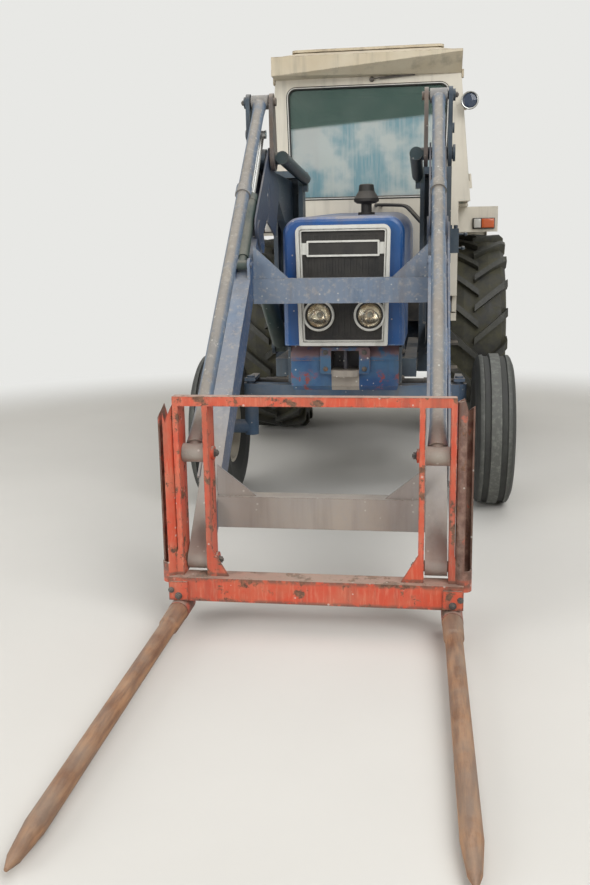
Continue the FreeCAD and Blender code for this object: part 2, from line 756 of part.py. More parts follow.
lip_outer = surround_bar + 4.0
lip_inner = surround_bar + 10.0
hood = hood.cut(grille_block(surround_bar / 2, hood_front - 10, hood_front + nose_depth + 10))
shapes["hood"] = hood.removeSplitter()
surround = grille_block(0, surround_front, hood_front).cut(
    grille_block(surround_bar, surround_front - 5, hood_front + 5))
step_band = grille_block(surround_bar - 2, surround_front + 14, hood_front).cut(
    grille_block(lip_inner, surround_front, hood_front + 5))
lip = grille_block(lip_outer, surround_front + 5, surround_front + 16).cut(
    grille_block(lip_inner, surround_front, hood_front))
surround_parts = [surround, step_band, lip]
bezel_front = surround_front + 2
for side in (-1, 1):
    x = side * headlamp_x + 4
    bezel = revolved_y([(mesh_front, bucket_radius), (mesh_front, bezel_radius),
                        (bezel_front + 4, bezel_radius), (bezel_front, bezel_radius - 4),
                        (bezel_front + 3, bucket_radius)], x, headlamp_z)
    surround_parts.append(bezel)
plate_front = mesh_front - 12
border = rounded_front([(-plate_half, plate_low), (plate_half, plate_low), (plate_half, plate_high),
                        (-plate_half, plate_high)], [6, 6, 6, 6], plate_front, mesh_front)
border = border.cut(box(-plate_half + 9, plate_half - 9, plate_front - 5, mesh_front + 5,
                        plate_low + 9, plate_high - 9))
surround_parts.append(border)
for side in (-1, 1):
    surround_parts.append(side_box(side, plate_half - 2, surround_half_top - lip_inner + 1,
                                   mesh_front - 6, mesh_front, plate_low + 10, plate_high - 10))
surround = union(surround_parts)
for side in (-1, 1):
    x = side * headlamp_x + 4
    surround = surround.cut(cyl(bucket_radius, V(x, bezel_front - 5, headlamp_z),
                                V(x, hood_front + 5, headlamp_z)))
shapes["grille_surround"] = surround.removeSplitter()
grille = grille_block(lip_inner + 1, mesh_front + seat_gap, mesh_front + mesh_sheet)
grille_bars = [grille]
bar_count = int((surround_half_low - lip_inner - 6) / mesh_pitch)
for index in range(-bar_count, bar_count + 1):
    x = index * mesh_pitch
    grille_bars.append(box(x - 4, x + 4, mesh_front + mesh_sheet - 1, mesh_front + mesh_sheet + 10,
                           surround_low + 40, surround_top - 40))
back_frame = grille_block(lip_inner + 1, mesh_front + mesh_sheet - 1,
                          mesh_front + mesh_sheet + 10)
back_frame = back_frame.cut(grille_block(lip_inner + 16, mesh_front, mesh_front + 60))
grille_bars.append(back_frame)
grille = union(grille_bars)
bar_slots = []
for index in range(-bar_count, bar_count):
    x = (index + 0.5) * mesh_pitch
    bar_slots.append(box(x - 9.5, x + 9.5, mesh_front - 5, mesh_front + mesh_sheet / 2,
                         surround_low + 44, surround_top - 48))
grille = grille.cut(bar_slots)
plate_body = box(-plate_half + 9.3, plate_half - 9.3, plate_front + 5, mesh_front + mesh_sheet,
                 plate_low + 9.3, plate_high - 9.3)
buckets = []
lamp_holes = []
for side in (-1, 1):
    x = side * headlamp_x + 4
    buckets.append(cyl(bucket_radius - seat_gap, V(x, bezel_front + 8, headlamp_z),
                       V(x, mesh_front + 44, headlamp_z)))
    lamp_holes.append(cyl(headlamp_radius + seat_gap, V(x, bezel_front - 20, headlamp_z),
                          V(x, mesh_front + 20, headlamp_z)))
shapes["grille_mesh"] = grille.fuse([plate_body] + buckets).cut(lamp_holes).removeSplitter()

# Lamps: two domed headlamps, a lamp on each fender and a round work lamp on the cab
lamps = []
for side in (-1, 1):
    x = side * headlamp_x + 4
    lamps.append(revolved_y([(bezel_front - 2, 0), (bezel_front, 26), (bezel_front + 6, 46),
                             (bezel_front + 12, headlamp_radius), (mesh_front + 19, headlamp_radius),
                             (mesh_front + 19, 0)], x, headlamp_z))
    lamps.append(rounded_plan([(side * 700, fender_front - seat_gap),
                               (side * 700, fender_front - 40), (side * 850, fender_front - 40),
                               (side * 850, fender_front - seat_gap)], [0, 14, 14, 0],
                              fender_top - 150, fender_top - 77))
lamp_x, lamp_y, lamp_z = work_lamp
lamps.append(revolved_y([(lamp_y, 0), (lamp_y, 38), (lamp_y + 3, 44), (lamp_y + 8, 44),
                         (lamp_y - 4, 48), (lamp_y - 4, 54), (lamp_y + 14, 54), (lamp_y + 52, 40),
                         (lamp_y + 80, 18), (lamp_y + 80, 0)], lamp_x, lamp_z))
shapes["lamps"] = group(lamps)

# Air intake stack: a flared bowl with a narrower flat top
stack_x = 70.0
stack_y = 20.0
stack_foot = hood_top + 22.0
stack = revolved_z([(stack_foot, 0), (stack_foot, 44), (stack_foot + 22, 44),
                    (stack_foot + 22, 28), (1600, 28), (1602, 50), (1612, 66), (1626, 66),
                    (1664, 42), (1696, 38), (1700, 30), (1700, 0)], stack_x, stack_y)
hood_block.translate(V(0, 0, seat_gap))
shapes["air_precleaner"] = stack.cut(hood_block).removeSplitter()

# Cab end walls: slanted above the waist, narrower below it


def cab_outline():
    return [(-cab_half_waist, cab_waist), (cab_half_waist, cab_waist),
            (cab_half_top, cab_eave), (-cab_half_top, cab_eave)]


def screen_outline(low, inset, shrink):
    half_low = screen_half_low - shrink
    half_top = screen_half_top - inset - shrink
    return [(-half_low, low + shrink), (half_low, low + shrink),
            (half_top, screen_high - shrink), (-half_top, screen_high - shrink)]


def screen_radii(shrink):
    return [20, 20, screen_corner - shrink, screen_corner - shrink]


front_wall = front_plate(cab_outline(), cab_front, door_front)
front_wall = front_wall.fuse(box(-cab_half_low, cab_half_low, cab_front, door_front,
                                 front_wall_low, cab_waist))
screen_hole = rounded_front(screen_outline(screen_low, 0, 0), screen_radii(0), cab_front - 10,
                            door_front + 10)
hood_slot = box(-hood_half + 40, hood_half - 40, cab_front - 10, door_front + 10,
                front_wall_low - 10, console_low - 5)
front_wall = front_wall.cut(screen_hole).cut(hood_slot)
lamp_bracket = box(560, 652, lamp_y + 80 + seat_gap, cab_front + 25, lamp_z - 12, lamp_z + 12)
front_wall = front_wall.fuse(lamp_bracket)

rear_wall = front_plate(cab_outline(), cab_rear - cab_wall, cab_rear)
rear_wall = rear_wall.fuse([box(-cab_half_waist, cab_half_waist, cab_rear - cab_wall, cab_rear,
                                fender_top, cab_waist),
                            box(-fender_inner, fender_inner, cab_rear - cab_wall, cab_rear,
                                1000, cab_waist)])
rear_hole = rounded_front(screen_outline(rear_screen_low, rear_screen_inset, 0), screen_radii(0),
                          cab_rear - cab_wall - 10, cab_rear + 10)
rear_wall = rear_wall.cut(rear_hole).removeSplitter()


def slant_x(z):
    # outer face of the upper side wall at a height
    share = (z - cab_waist) / (cab_eave - cab_waist)
    return cab_half_waist + share * (cab_half_top - cab_half_waist)


def hinge_axis_point(z):
    # the door's hinge line lies just outside the slanted wall
    return V(slant_x(z) + hinge_offset, door_front + door_gap, z)


def hinge_knuckle(z0, z1, leaf_y0, leaf_y1):
    p = hinge_axis_point(z0)
    q = hinge_axis_point(z1)
    leaf = box(p.x - hinge_offset - 18, p.x - 2, leaf_y0, leaf_y1, z0, z1)
    return cyl(hinge_radius, p, q).fuse(leaf)


door_knuckles = []
for z in hinge_heights:
    post_leaf = hinge_knuckle(z - hinge_length, z - hinge_play, door_front - 30, door_front + 2)
    front_wall = front_wall.fuse([post_leaf, mirrored(post_leaf)])
    door_knuckles.append(hinge_knuckle(z + hinge_play, z + hinge_length,
                                       door_front + door_gap + 1, door_front + door_gap + 40))
shapes["cab_end_walls"] = group([front_wall.removeSplitter(), rear_wall])


def slanted_panel(y0, y1, z0, z1, inset, thickness):
    outline = [(slant_x(z0) - inset, z0), (slant_x(z1) - inset, z1),
               (slant_x(z1) - inset - thickness, z1), (slant_x(z0) - inset - thickness, z0)]
    return front_plate(outline, y0, y1)


# Cab sides: openings for the door and the rear quarter glass, a sill and a door post
cutter_in = cab_half_top - 190
cutter_out = cab_half_waist + 60
quarter_low = cab_waist + quarter_margin
quarter_high = cab_eave - 100
side_wall = slanted_panel(door_front, cab_rear - cab_wall, cab_waist, cab_eave, 0, cab_wall)
side_wall = side_wall.cut(box(cutter_in, cutter_out, door_front - 5, door_rear, cab_waist - 5,
                              door_head))
quarter_hole = rounded_side([(door_rear + quarter_margin, quarter_low),
                             (cab_rear - cab_wall - 34, quarter_low),
                             (cab_rear - cab_wall - 34, quarter_high),
                             (door_rear + quarter_margin, quarter_high)], [40, 40, 40, 40],
                            cutter_in, cutter_out)
side_wall = side_wall.cut(quarter_hole)
inner_face = fender_inner - 6
side_frame = [side_wall,
              box(cab_half_waist - cab_wall, cab_half_waist, fender_front, cab_rear - cab_wall,
                  fender_top, cab_waist),
              box(inner_face, cab_half_low, jamb_front, fender_front, fender_top, cab_waist),
              box(cab_half_low - 1, cab_half_waist, ledge_front, fender_front, fender_top,
                  cab_waist),
              box(inner_face, cab_half_low, jamb_front, jamb_rear, cab_sill, fender_top),
              box(inner_face, fender_inner + fender_sheet, jamb_front, fender_wall_front,
                  cab_sill, fender_top),
              box(cab_half_low - cab_wall, cab_half_low, door_front, jamb_front, cab_sill,
                  cab_sill + 50)]
shapes["cab_sides"] = both(union(side_frame))

# Doors: a slanted upper frame and a narrow lower leaf, each with its own pane
door_high = door_head - door_gap
low_door_rear = jamb_front - door_gap
low_door_sill = cab_sill + 50 + door_gap
upper_door = slanted_panel(door_front + door_gap, door_rear - door_gap, cab_waist + door_gap,
                           door_high, 0, door_thickness)
lower_door = box(cab_half_low - door_thickness, cab_half_low, door_front + door_gap,
                 low_door_rear, low_door_sill, cab_waist + 20)
step_door = box(cab_half_low - door_thickness, slant_x(cab_waist + 34), door_front + door_gap,
                low_door_rear + 40, cab_waist + door_gap, cab_waist + 34)
handle = box(slant_x(cab_waist + 60) - 6, slant_x(cab_waist + 60) + 26, door_rear - 150,
             door_rear - 130, cab_waist + 44, cab_waist + 62)
grip = box(slant_x(cab_waist + 60) + 14, slant_x(cab_waist + 60) + 26, door_rear - 150,
           door_rear - 40, cab_waist + 44, cab_waist + 62)
door = union([upper_door, lower_door, step_door, handle, grip] + door_knuckles)


def upper_pane_outline(shrink):
    return [(door_front + door_gap + pane_margin + shrink, cab_waist + 90 + shrink),
            (door_rear - door_gap - pane_margin - shrink, cab_waist + 90 + shrink),
            (door_rear - door_gap - pane_margin - shrink, door_high - pane_margin - shrink),
            (door_front + door_gap + pane_margin + shrink, door_high - pane_margin - shrink)]


low_pane_low = low_door_sill + 200
low_pane_high = cab_waist - 40
door_hole = rounded_side(upper_pane_outline(0), [45, 45, 45, 45], cutter_in, cutter_out)
low_hole = box(cab_half_low - 60, cab_half_low + 20, door_front + 60, low_door_rear - 50,
               low_pane_low, low_pane_high)
door = door.cut(door_hole).cut(low_hole)
pane = slanted_panel(door_front, door_rear, cab_waist + 20, door_head, glass_inset,
                     glass_thickness)
pane = pane.common(rounded_side(upper_pane_outline(seat_gap), [44, 44, 44, 44], cutter_in,
                                cutter_out))
low_pane = box(cab_half_low - glass_inset - glass_thickness, cab_half_low - glass_inset,
               door_front + 60 + seat_gap, low_door_rear - 50 - seat_gap,
               low_pane_low + seat_gap, low_pane_high - seat_gap)
shapes["door_left"] = door.removeSplitter()
shapes["door_right"] = mirrored(shapes["door_left"])
shapes["door_glass_left"] = group([pane, low_pane])
shapes["door_glass_right"] = mirrored(shapes["door_glass_left"])

glass_y = cab_front + glass_inset
rear_y = cab_rear - cab_wall / 2
screen_pane = rounded_front(screen_outline(screen_low, 0, seat_gap), screen_radii(seat_gap),
                            glass_y, glass_y + glass_thickness)
rear_pane = rounded_front(screen_outline(rear_screen_low, rear_screen_inset, seat_gap),
                          screen_radii(seat_gap), rear_y, rear_y + glass_thickness)
quarter_pane = slanted_panel(door_rear + 20, cab_rear - cab_wall, cab_waist + 20, cab_eave - 20,
                             glass_inset, glass_thickness)
quarter_pane = quarter_pane.common(rounded_side(
    [(door_rear + quarter_margin + seat_gap, quarter_low + seat_gap),
     (cab_rear - cab_wall - 34 - seat_gap, quarter_low + seat_gap),
     (cab_rear - cab_wall - 34 - seat_gap, quarter_high - seat_gap),
     (door_rear + quarter_margin + seat_gap, quarter_high - seat_gap)], [39, 39, 39, 39],
    cutter_in, cutter_out))
shapes["cab_glass"] = group([screen_pane, rear_pane, quarter_pane, mirrored(quarter_pane)])

# Roof: a lid with a deep visor whose lower edge is bent up towards the left,
# a raised top and a loose sheet over it
roof_front = cab_front - roof_overhang
roof_rear = cab_rear + roof_rear_overhang
lid = box(-roof_half, roof_half, roof_front, roof_rear, cab_eave, roof_edge)
bend_base = [V(-roof_half - 1, roof_front - 1, cab_eave - 1),
             V(roof_half + 1, roof_front - 1, cab_eave - 1),
             V(roof_half + 1, cab_front - 1, cab_eave - 1)]
bend_peak = V(roof_half + 1, roof_front - 1, visor_low_left)
bend_faces = [face_of(bend_base), face_of([bend_base[0], bend_base[1], bend_peak]),
              face_of([bend_base[1], bend_base[2], bend_peak]),
              face_of([bend_base[2], bend_base[0], bend_peak])]
lid = lid.cut(Part.makeSolid(Part.makeShell(bend_faces)))


def level_wire(half, y0, y1, z, corner):
    return rounded_wire([V(-half, y0, z), V(half, y0, z), V(half, y1, z), V(-half, y1, z)],
                        [corner, corner, corner, corner])


crown = Part.makeLoft([level_wire(roof_half - 14, roof_front + 12, roof_rear - 12, roof_edge - 1, 30),
                       level_wire(roof_half - 130, roof_front + 150, roof_rear - 120, roof_shoulder,
                                  60)], True, True)
sheet = rounded_plan([(-roof_half + 112, roof_front + 128), (roof_half - 112, roof_front + 128),
                      (roof_half - 112, roof_rear - 100), (-roof_half + 112, roof_rear - 100)],
                     [40, 40, 40, 40], roof_shoulder - 1, roof_crown)
roof_brackets = []
for side in (-1, 1):
    roof_brackets.append(side_box(side, slant_x(cab_eave - 26) + seat_gap,
                                  slant_x(cab_eave - 26) + 12, cab_front - 6, cab_front + 40,
                                  cab_eave - 26, cab_eave + 20))
    roof_brackets.append(side_box(side, roof_half - 20, slant_x(cab_eave - 26) + 12,
                                  cab_front - 6, cab_front + 40, cab_eave + 8, cab_eave + 20))
roof_room = box(-roof_half + 70, roof_half - 70, door_front + 10, cab_rear - 60, cab_eave - 5,
                roof_edge - 8)
roof_room = roof_room.fuse(box(-roof_half + 150, roof_half - 150, door_front + 90, cab_rear - 150,
                               cab_eave, roof_shoulder - 12))
shapes["cab_roof"] = union([lid, crown, sheet] + roof_brackets).cut(roof_room)

# Fenders over the rear tyres
fender_drop = 160.0
fender_tail = fender_rear - fender_drop
fender_side = [(fender_front, fender_skirt), (fender_front, fender_top), (fender_tail, fender_top),
               (fender_rear, fender_skirt), (fender_rear, fender_top - 350),
               (fender_rear - fender_sheet, fender_top - 350),
               (fender_rear - fender_sheet, fender_skirt - 3),
               (fender_tail - 3, fender_top - fender_sheet),
               (fender_front + fender_sheet, fender_top - fender_sheet),
               (fender_front + fender_sheet, fender_skirt)]
fender_cover = side_plate(fender_side, fender_inner, fender_outer)
fender_wall = side_plate([(fender_wall_front, floor_z), (fender_wall_front, fender_skirt),
                          (fender_front, fender_skirt + 20), (fender_front, fender_top),
                          (fender_tail, fender_top), (fender_rear, fender_skirt),
                          (fender_rear, fender_top - 450), (cab_rear - 10, floor_z)],
                         fender_inner, fender_inner + fender_sheet)
fender_lip = side_plate([(fender_front, fender_skirt), (fender_front, fender_top),
                         (fender_tail, fender_top), (fender_rear, fender_skirt),
                         (fender_rear, fender_skirt - 40), (fender_rear - 22, fender_skirt - 30),
                         (fender_tail - 14, fender_top - 26), (fender_front + 22, fender_top - 26),
                         (fender_front + 22, fender_skirt)], fender_outer - 5, fender_outer)
shapes["fenders"] = both(union([fender_cover, fender_wall, fender_lip]))

# Platform with its tunnel, console, pedals, levers and the steps below each door
floor_edge = cab_half_low - cab_wall
tunnel_half = gearbox_half + 6
floor = [box(-floor_edge, floor_edge, door_front, jamb_front, floor_z, floor_z + floor_sheet),
         box(-inner_face, inner_face, jamb_front - 1, cab_rear - cab_wall, floor_z,
             floor_z + floor_sheet).cut(box(-tunnel_half, tunnel_half, hump_front, cab_rear,
                                            floor_z - 10, floor_z + 60)),
         box(-tunnel_half - 29, tunnel_half + 29, hump_front, cab_rear - cab_wall,
             floor_z + 20, hump_top).cut(box(-tunnel_half, tunnel_half, hump_front - 10, cab_rear,
                                             floor_z, 1010)),
         box(-floor_edge, floor_edge, door_front, door_front + 8, floor_z, front_wall_low + 4),
         rounded_side([(door_front, console_low), (console_rear, console_low),
                       (console_rear, console_top - 60), (console_rear - 50, console_top),
                       (door_front, console_top)], [0, 0, 20, 20, 0], -200, 200),
         box(-150, 150, door_front, console_rear - 30, floor_z + floor_sheet - 1, console_low + 1)]
# columns: x, pad width, pad height above the floor
for x, width, height in ((-245, 60, 150), (205, 50, 150), (262, 50, 150)):
    floor.append(box(x - 8, x + 8, door_front + 4, door_front + 150, floor_z + height - 20,
                     floor_z + height - 6))
    floor.append(side_plate([(door_front + 140, floor_z + height - 34),
                             (door_front + 148, floor_z + height - 38),
                             (door_front + 172, floor_z + height + 34),
                             (door_front + 164, floor_z + height + 38)], x - width / 2,
                            x + width / 2))
# columns: x, y forward of the seat, height, lean
for x, ahead, height, lean in ((-175, 30, 250, 40), (-150, 20, 190, 10), (178, 20, 210, 30)):
    foot = V(x, hump_front + 22, hump_top - 10)
    knob = V(x, hump_front - ahead - lean + 40, hump_top + height)
    floor.append(cyl(7, foot, knob))
    floor.append(Part.makeSphere(17, knob))
for side in (-1, 1):
    for y in (door_front + 30, jamb_front - 44):
        floor.append(side_box(side, 496, 516, y, y + 14, 560, floor_z + 1))
    for z in (560, 735):
        floor.append(side_box(side, 480, 604, door_front + 26, jamb_front - 26, z, z + 18))
column_foot = V(0, console_rear + 5, cab_waist - 225)
column_head = V(0, wheel_centre[0] - 5, wheel_centre[1] - 5)
column = cyl(24, column_foot, column_head)
floor_shape = union(floor).cut(cyl(24, column_foot, column_head))
shapes["cab_floor"] = floor_shape.removeSplitter()

# Seat on a pedestal, with arm rests
cushion = rounded_side([(seat_front, hump_top + seat_gap), (seat_rear, hump_top + seat_gap),
                        (seat_rear, cushion_top), (seat_front, cushion_top)], [0, 0, 20, 55],
                       -230, 230)
backrest = rounded_side([(seat_rear - 60, cushion_top - 20), (seat_rear + 50, cushion_top - 20),
                         (seat_rear + 140, cushion_top + 430), (seat_rear + 50, cushion_top + 430)],
                        [0, 20, 35, 35], -225, 225)
shapes["seat"] = union([cushion, backrest])

# Steering wheel: an eight-sided rim on three spokes
ring_centre = V(0, wheel_centre[0], wheel_centre[1])
ring_axis = column_head.sub(column_foot)
ring_axis.normalize()
ring_up = V(1, 0, 0).cross(ring_axis)
ring_up.normalize()
section = []
for index in range(8):
    turn = math.radians(22.5 + 45 * index)
    section.append(ring_centre.add(V(steering_wheel_radius + 13 * math.cos(turn), 0, 0))
                   .add(ring_axis * (13 * math.sin(turn))))
ring = face_of(section).revolve(ring_centre, ring_axis, 360)
steering = [column, ring, cyl(32, ring_centre.sub(ring_axis * 14), ring_centre.add(ring_axis * 10))]
for angle in (90, 210, 330):
    turn = math.radians(angle)
    rim_point = ring_centre.add(V(steering_wheel_radius * math.cos(turn), 0, 0))
    rim_point = rim_point.add(ring_up * (steering_wheel_radius * math.sin(turn)))
    steering.append(cyl(8, ring_centre, rim_point))
shapes["steering_column"] = union(steering)

# Loader towers: a column each side with a forward head that carries the boom pin,
# a foot on the engine and a rail that runs forward to the nose casting


def tower():
    x0 = arm_x - tower_web / 2
    x1 = arm_x + tower_web / 2
    front = tower_column_front
    back = tower_column_front + tower_column_depth
    half = tower_column_half
    column = box(arm_x - half, arm_x + half, front, back, tower_column_foot, tower_column_top)
    recess = box(arm_x - half + tower_lip, arm_x + half - tower_lip, front - 5, back - 14, 930,
                 tower_column_top - 40)
    column = column.cut(recess)
    head_profile = [(boom_pin[0] - 20, boom_pin[1] - 40), (boom_pin[0] + 34, boom_pin[1] + 31),
                    (-130, head_plate_top), (front + 60, head_plate_top), (front + 60, 1420),
                    (300, 1540), (0, 1690)]
    head_plate = side_plate(head_profile, x0, x1)
    boss = cyl_x(46, x0, x1, boom_pin[0], boom_pin[1])
    brace_x = arm_x - brace_offset
    pin = cyl_x(pivot_radius, brace_x - 10, arm_x + 82, boom_pin[0], boom_pin[1])
    cap_out = cyl_x(40, arm_x + 72, arm_x + 84, boom_pin[0], boom_pin[1])
    brace = cyl(brace_radius, V(brace_x, boom_pin[0] - 30, boom_pin[1]),
                V(brace_x, front + 8, head_plate_top + 10))
    brace_pad = box(brace_x - 12, arm_x - half + 4, front + 4, front + 60, head_plate_top - 60,
                    tower_column_top - 10)
    ears = []
    for offset in (-48, 32):
        ears.append(plate_with_eyes(lift_base_pin, (back - 50, lift_base_pin[1] + 30),
                                    45, 70, arm_x + offset, arm_x + offset + 16))
    lift_pin = cyl_x(pin_radius, arm_x - 54, arm_x + 54, lift_base_pin[0], lift_base_pin[1])
    foot = box(engine_half, arm_x + 55, front + 10, back - 10, tower_column_foot, 760)
    rail = box(side_rail_inner, side_rail_outer, nose_front + 60, front + 50, side_rail_low,
               side_rail_high)
    rail_room = box(side_rail_inner + 6, side_rail_outer + 1, nose_front + 70, front - 10,
                    side_rail_low + 6, side_rail_high - 6)
    flange = box(nose_half + seat_gap, nose_half + 14, nose_front + 14, nose_front + 150, 728, 900)
    flange_web = plan_plate([(nose_half + 2, nose_front + 60), (side_rail_outer, nose_front + 60),
                             (side_rail_outer, nose_front + 90), (nose_half + 2, nose_front + 146)],
                            side_rail_low, side_rail_high)
    return union([column, head_plate, boss, pin, cap_out, brace, brace_pad, lift_pin, foot,
                  rail.cut(rail_room), flange, flange_web] + ears)


tower_left = tower()
tower_right = mirrored(tower_left)
column_back = tower_column_front + tower_column_depth
valve_inner = arm_x + 74.0
valve_outer = arm_x + 143.0
valve_low = 1338.0
valve_high = 1483.0
valve_parts = [tower_left,
               box(valve_inner, valve_outer, column_back + 30, column_back + 150, valve_low,
                   valve_high),
               box(arm_x + 40, valve_inner + 10, column_back - 2, column_back + 60, valve_low + 20,
                   valve_high - 30)]
for z, reach in ((valve_low + 30, 26), (valve_high - 32, 40)):
    valve_parts.append(cyl_x(6, valve_outer - 2, valve_outer + reach, column_back + 60, z))
    valve_parts.append(Part.makeSphere(13, V(valve_outer + reach, column_back + 60, z)))
for index in range(2):
    valve_parts.append(cyl(12, V(valve_inner + 18 + index * 34, column_back + 100, valve_high - 1),
                           V(valve_inner + 18 + index * 34, column_back + 100, valve_high + 22)))
shapes["towers"] = group([union(valve_parts), tower_right])

# Hoses from the cab's front wall over the bonnet to the loader valve
hose_solids = []
for lane in (0, 36):
    route = [V(60 + lane, cab_front - seat_gap, screen_low - 52),
             V(60 + lane, cab_front - 130 + lane, screen_low - 52),
             V(250 + lane / 3, cab_front - 160 + lane, screen_low - 62),
             V(385 + lane / 3, cab_front - 215 + lane, 1490),
             V(425, column_back + 82 + lane, 1410),
             V(valve_inner - seat_gap, column_back + 82 + lane, 1410)]
    hose_solids.append(bent_tube(route, hose_radius, hose_bend))
shapes["hoses"] = group(hose_solids)

# Loader booms: box beams that bend at the knee, with cheeks round the boom pin
boom_upper = (-512.0, 1551.0)
boom_knee = (-1118.0, 990.0)
boom_end_radius = 34.0
boom_outline = [boom_upper, (-360, 1655), (-300, 1560), (-560, 1395), (-1010, 905),
                (-1500, 430), (-1746, 211), (-1790, 262), boom_knee]


def boom():
    half = boom_width / 2
    beam = side_plate(boom_outline, arm_x - half, arm_x + half)
    beam = beam.fuse(cyl_x(boom_end_radius, arm_x - half, arm_x + half, fork_pin[0], fork_pin[1]))
    cheeks = []
    for x0 in (arm_x - half, arm_x + half - cheek_thickness):
        cheeks.append(plate_with_eyes(boom_pin, between(boom_pin, boom_knee, 0.42), 52, 70, x0,
                                      x0 + cheek_thickness))
        lobe = side_plate([boom_pin, (-170, 1790), (20, 1700), (10, 1640), (-130, 1440),
                           (-330, 1500)], x0, x0 + cheek_thickness)
        cheeks.append(lobe)
    slot = side_plate([(-150, 1700), (-150, 1900), (-420, 1900), (-420, 1600), (-330, 1540)],
                      arm_x - half + cheek_thickness, arm_x + half - cheek_thickness)
    lift_ears = []
    tilt_ears = []
    for offset in (-48, 32):
        x0 = arm_x + offset
        lift_ears.append(plate_with_eyes(lift_boom_pin, (-600, 1445), 40, 60, x0, x0 + 16))
    for offset in (-40, 27):
        x0 = arm_x + offset
        tilt_ears.append(plate_with_eyes(tilt_boom_pin, (-800, 1225), 30, 50, x0, x0 + 13))
    eye_path = between(lift_boom_pin, boom_pin, 0.13)
    lift_clear = plate_with_eyes(lift_boom_pin, eye_path, 50, 50, arm_x - 32, arm_x + 32)
    tilt_pin = cyl_x(tilt_pin_radius, arm_x - 46, arm_x + 46, tilt_boom_pin[0],
                     tilt_boom_pin[1])
    knee_plate = side_plate([(-1040, 1015), (-1112, 958), (-1190, 880), (-1190, 800), (-1100, 828),
                             (-1015, 915), (-960, 985), (-960, 1050)], arm_x + half - 1,
                            arm_x + half + 5)
    pipes = []
    for shift in (0, 24):
        route = [V(arm_x + half + 9, -560 + shift / 2, 1478 - shift),
                 V(arm_x + half + 9, -1062 + shift, 968 - shift),
                 V(arm_x + half + 9, -1560 + shift, 496 - shift)]
        pipes.append(bent_tube(route, pipe_radius, 60))
    clips = []
    for y, z in ((-700, 1325), (-900, 1122), (-1250, 777), (-1480, 556)):
        clip = box(arm_x + half - 1, arm_x + half + 19, y - 8, y + 30, z - 30, z + 10)
        clips.append(clip)
    whole = beam.cut(slot)
    whole = whole.fuse(cheeks).fuse(lift_ears).cut(lift_clear).fuse(tilt_ears).fuse(tilt_pin)
    whole = whole.fuse([knee_plate] + pipes + clips)
    pivot_bore = cyl_x(pivot_radius + pin_fit, arm_x - 90, arm_x + 90, boom_pin[0], boom_pin[1])
    fork_bore = cyl_x(pin_radius + pin_fit, arm_x - 90, arm_x + 90, fork_pin[0], fork_pin[1])
    return whole.cut(pivot_bore).cut(fork_bore).removeSplitter()


shapes["booms"] = both(boom())

# Crossbeams between the booms with gussets in their upper corners
cross_half = arm_x - boom_width / 2
crossbeams = []
# columns: front face, rear face, bottom, top, gusset reach, gusset top
for y0, y1, z0, z1, reach, peak in ((-786, -700, 1124, 1237, 162, 1384),
                                    (-1632, -1560, 318, 440, 152, 560)):
    beam = box(-cross_half, cross_half, y0, y1, z0, z1)
    beam = beam.cut(box(-cross_half + 12, cross_half - 12, y0 + 8, y1 + 5, z0 + 8, z1 - 8))
    for side in (-1, 1):
        edge = side * cross_half
        beam = beam.fuse(front_plate([(edge, z1 - 1), (edge - side * reach, z1 - 1),
                                      (edge, peak)], y0 + 16, y0 + 26))
    crossbeams.append(beam.removeSplitter())
shapes["crossbeams"] = group(crossbeams)


# Rockers on the boom pin, and the long links to the fork carriage
def rocker():
    plates = []
    for x0 in (arm_x - rocker_gap / 2 - rocker_thickness, arm_x + rocker_gap / 2):
        plates.append(plate_with_eyes(boom_pin, rocker_pin, 62, 40, x0, x0 + rocker_thickness))
    outer = rocker_gap / 2 + rocker_thickness
    pin = cyl_x(pin_radius, arm_x - outer - 12, arm_x + outer + 12, rocker_pin[0], rocker_pin[1])
    caps = [cyl_x(28, arm_x + outer - 1, arm_x + outer + 12, rocker_pin[0], rocker_pin[1]),
            cyl_x(24, arm_x + outer - 1, arm_x + outer + 10, tilt_rocker_pin[0],
                  tilt_rocker_pin[1])]
    bore = cyl_x(pivot_radius + pin_fit, arm_x - 90, arm_x + 90, boom_pin[0], boom_pin[1])
    return union(plates + [pin] + caps).cut(bore)


shapes["rockers"] = both(rocker())


def link():
    boss_half = post_gap / 2 - side_play
    top_boss = cyl_x(link_boss_radius, arm_x - 42, arm_x + 42, rocker_pin[0], rocker_pin[1])
    low_boss = cyl_x(link_boss_radius, arm_x - boss_half, arm_x + boss_half, link_pin[0],
                     link_pin[1])

    def station(share):
        y, z = between(rocker_pin, link_pin, share)
        return V(arm_x, y, z)

    tube = cyl(link_radius, station(0), station(1))
    collar = cyl(collar_radius, station(0.305), station(0.33))
    flare = cone(link_radius, link_boss_radius + 3, station(0.93), station(0.985))
    top_flare = cone(link_boss_radius, link_radius, station(0.01), station(0.05))
    bore = cyl_x(pin_radius + pin_fit, arm_x - 60, arm_x + 60, rocker_pin[0], rocker_pin[1])
    return union([tube, collar, flare, top_flare, top_boss, low_boss]).cut(bore)


shapes["links"] = both(link())


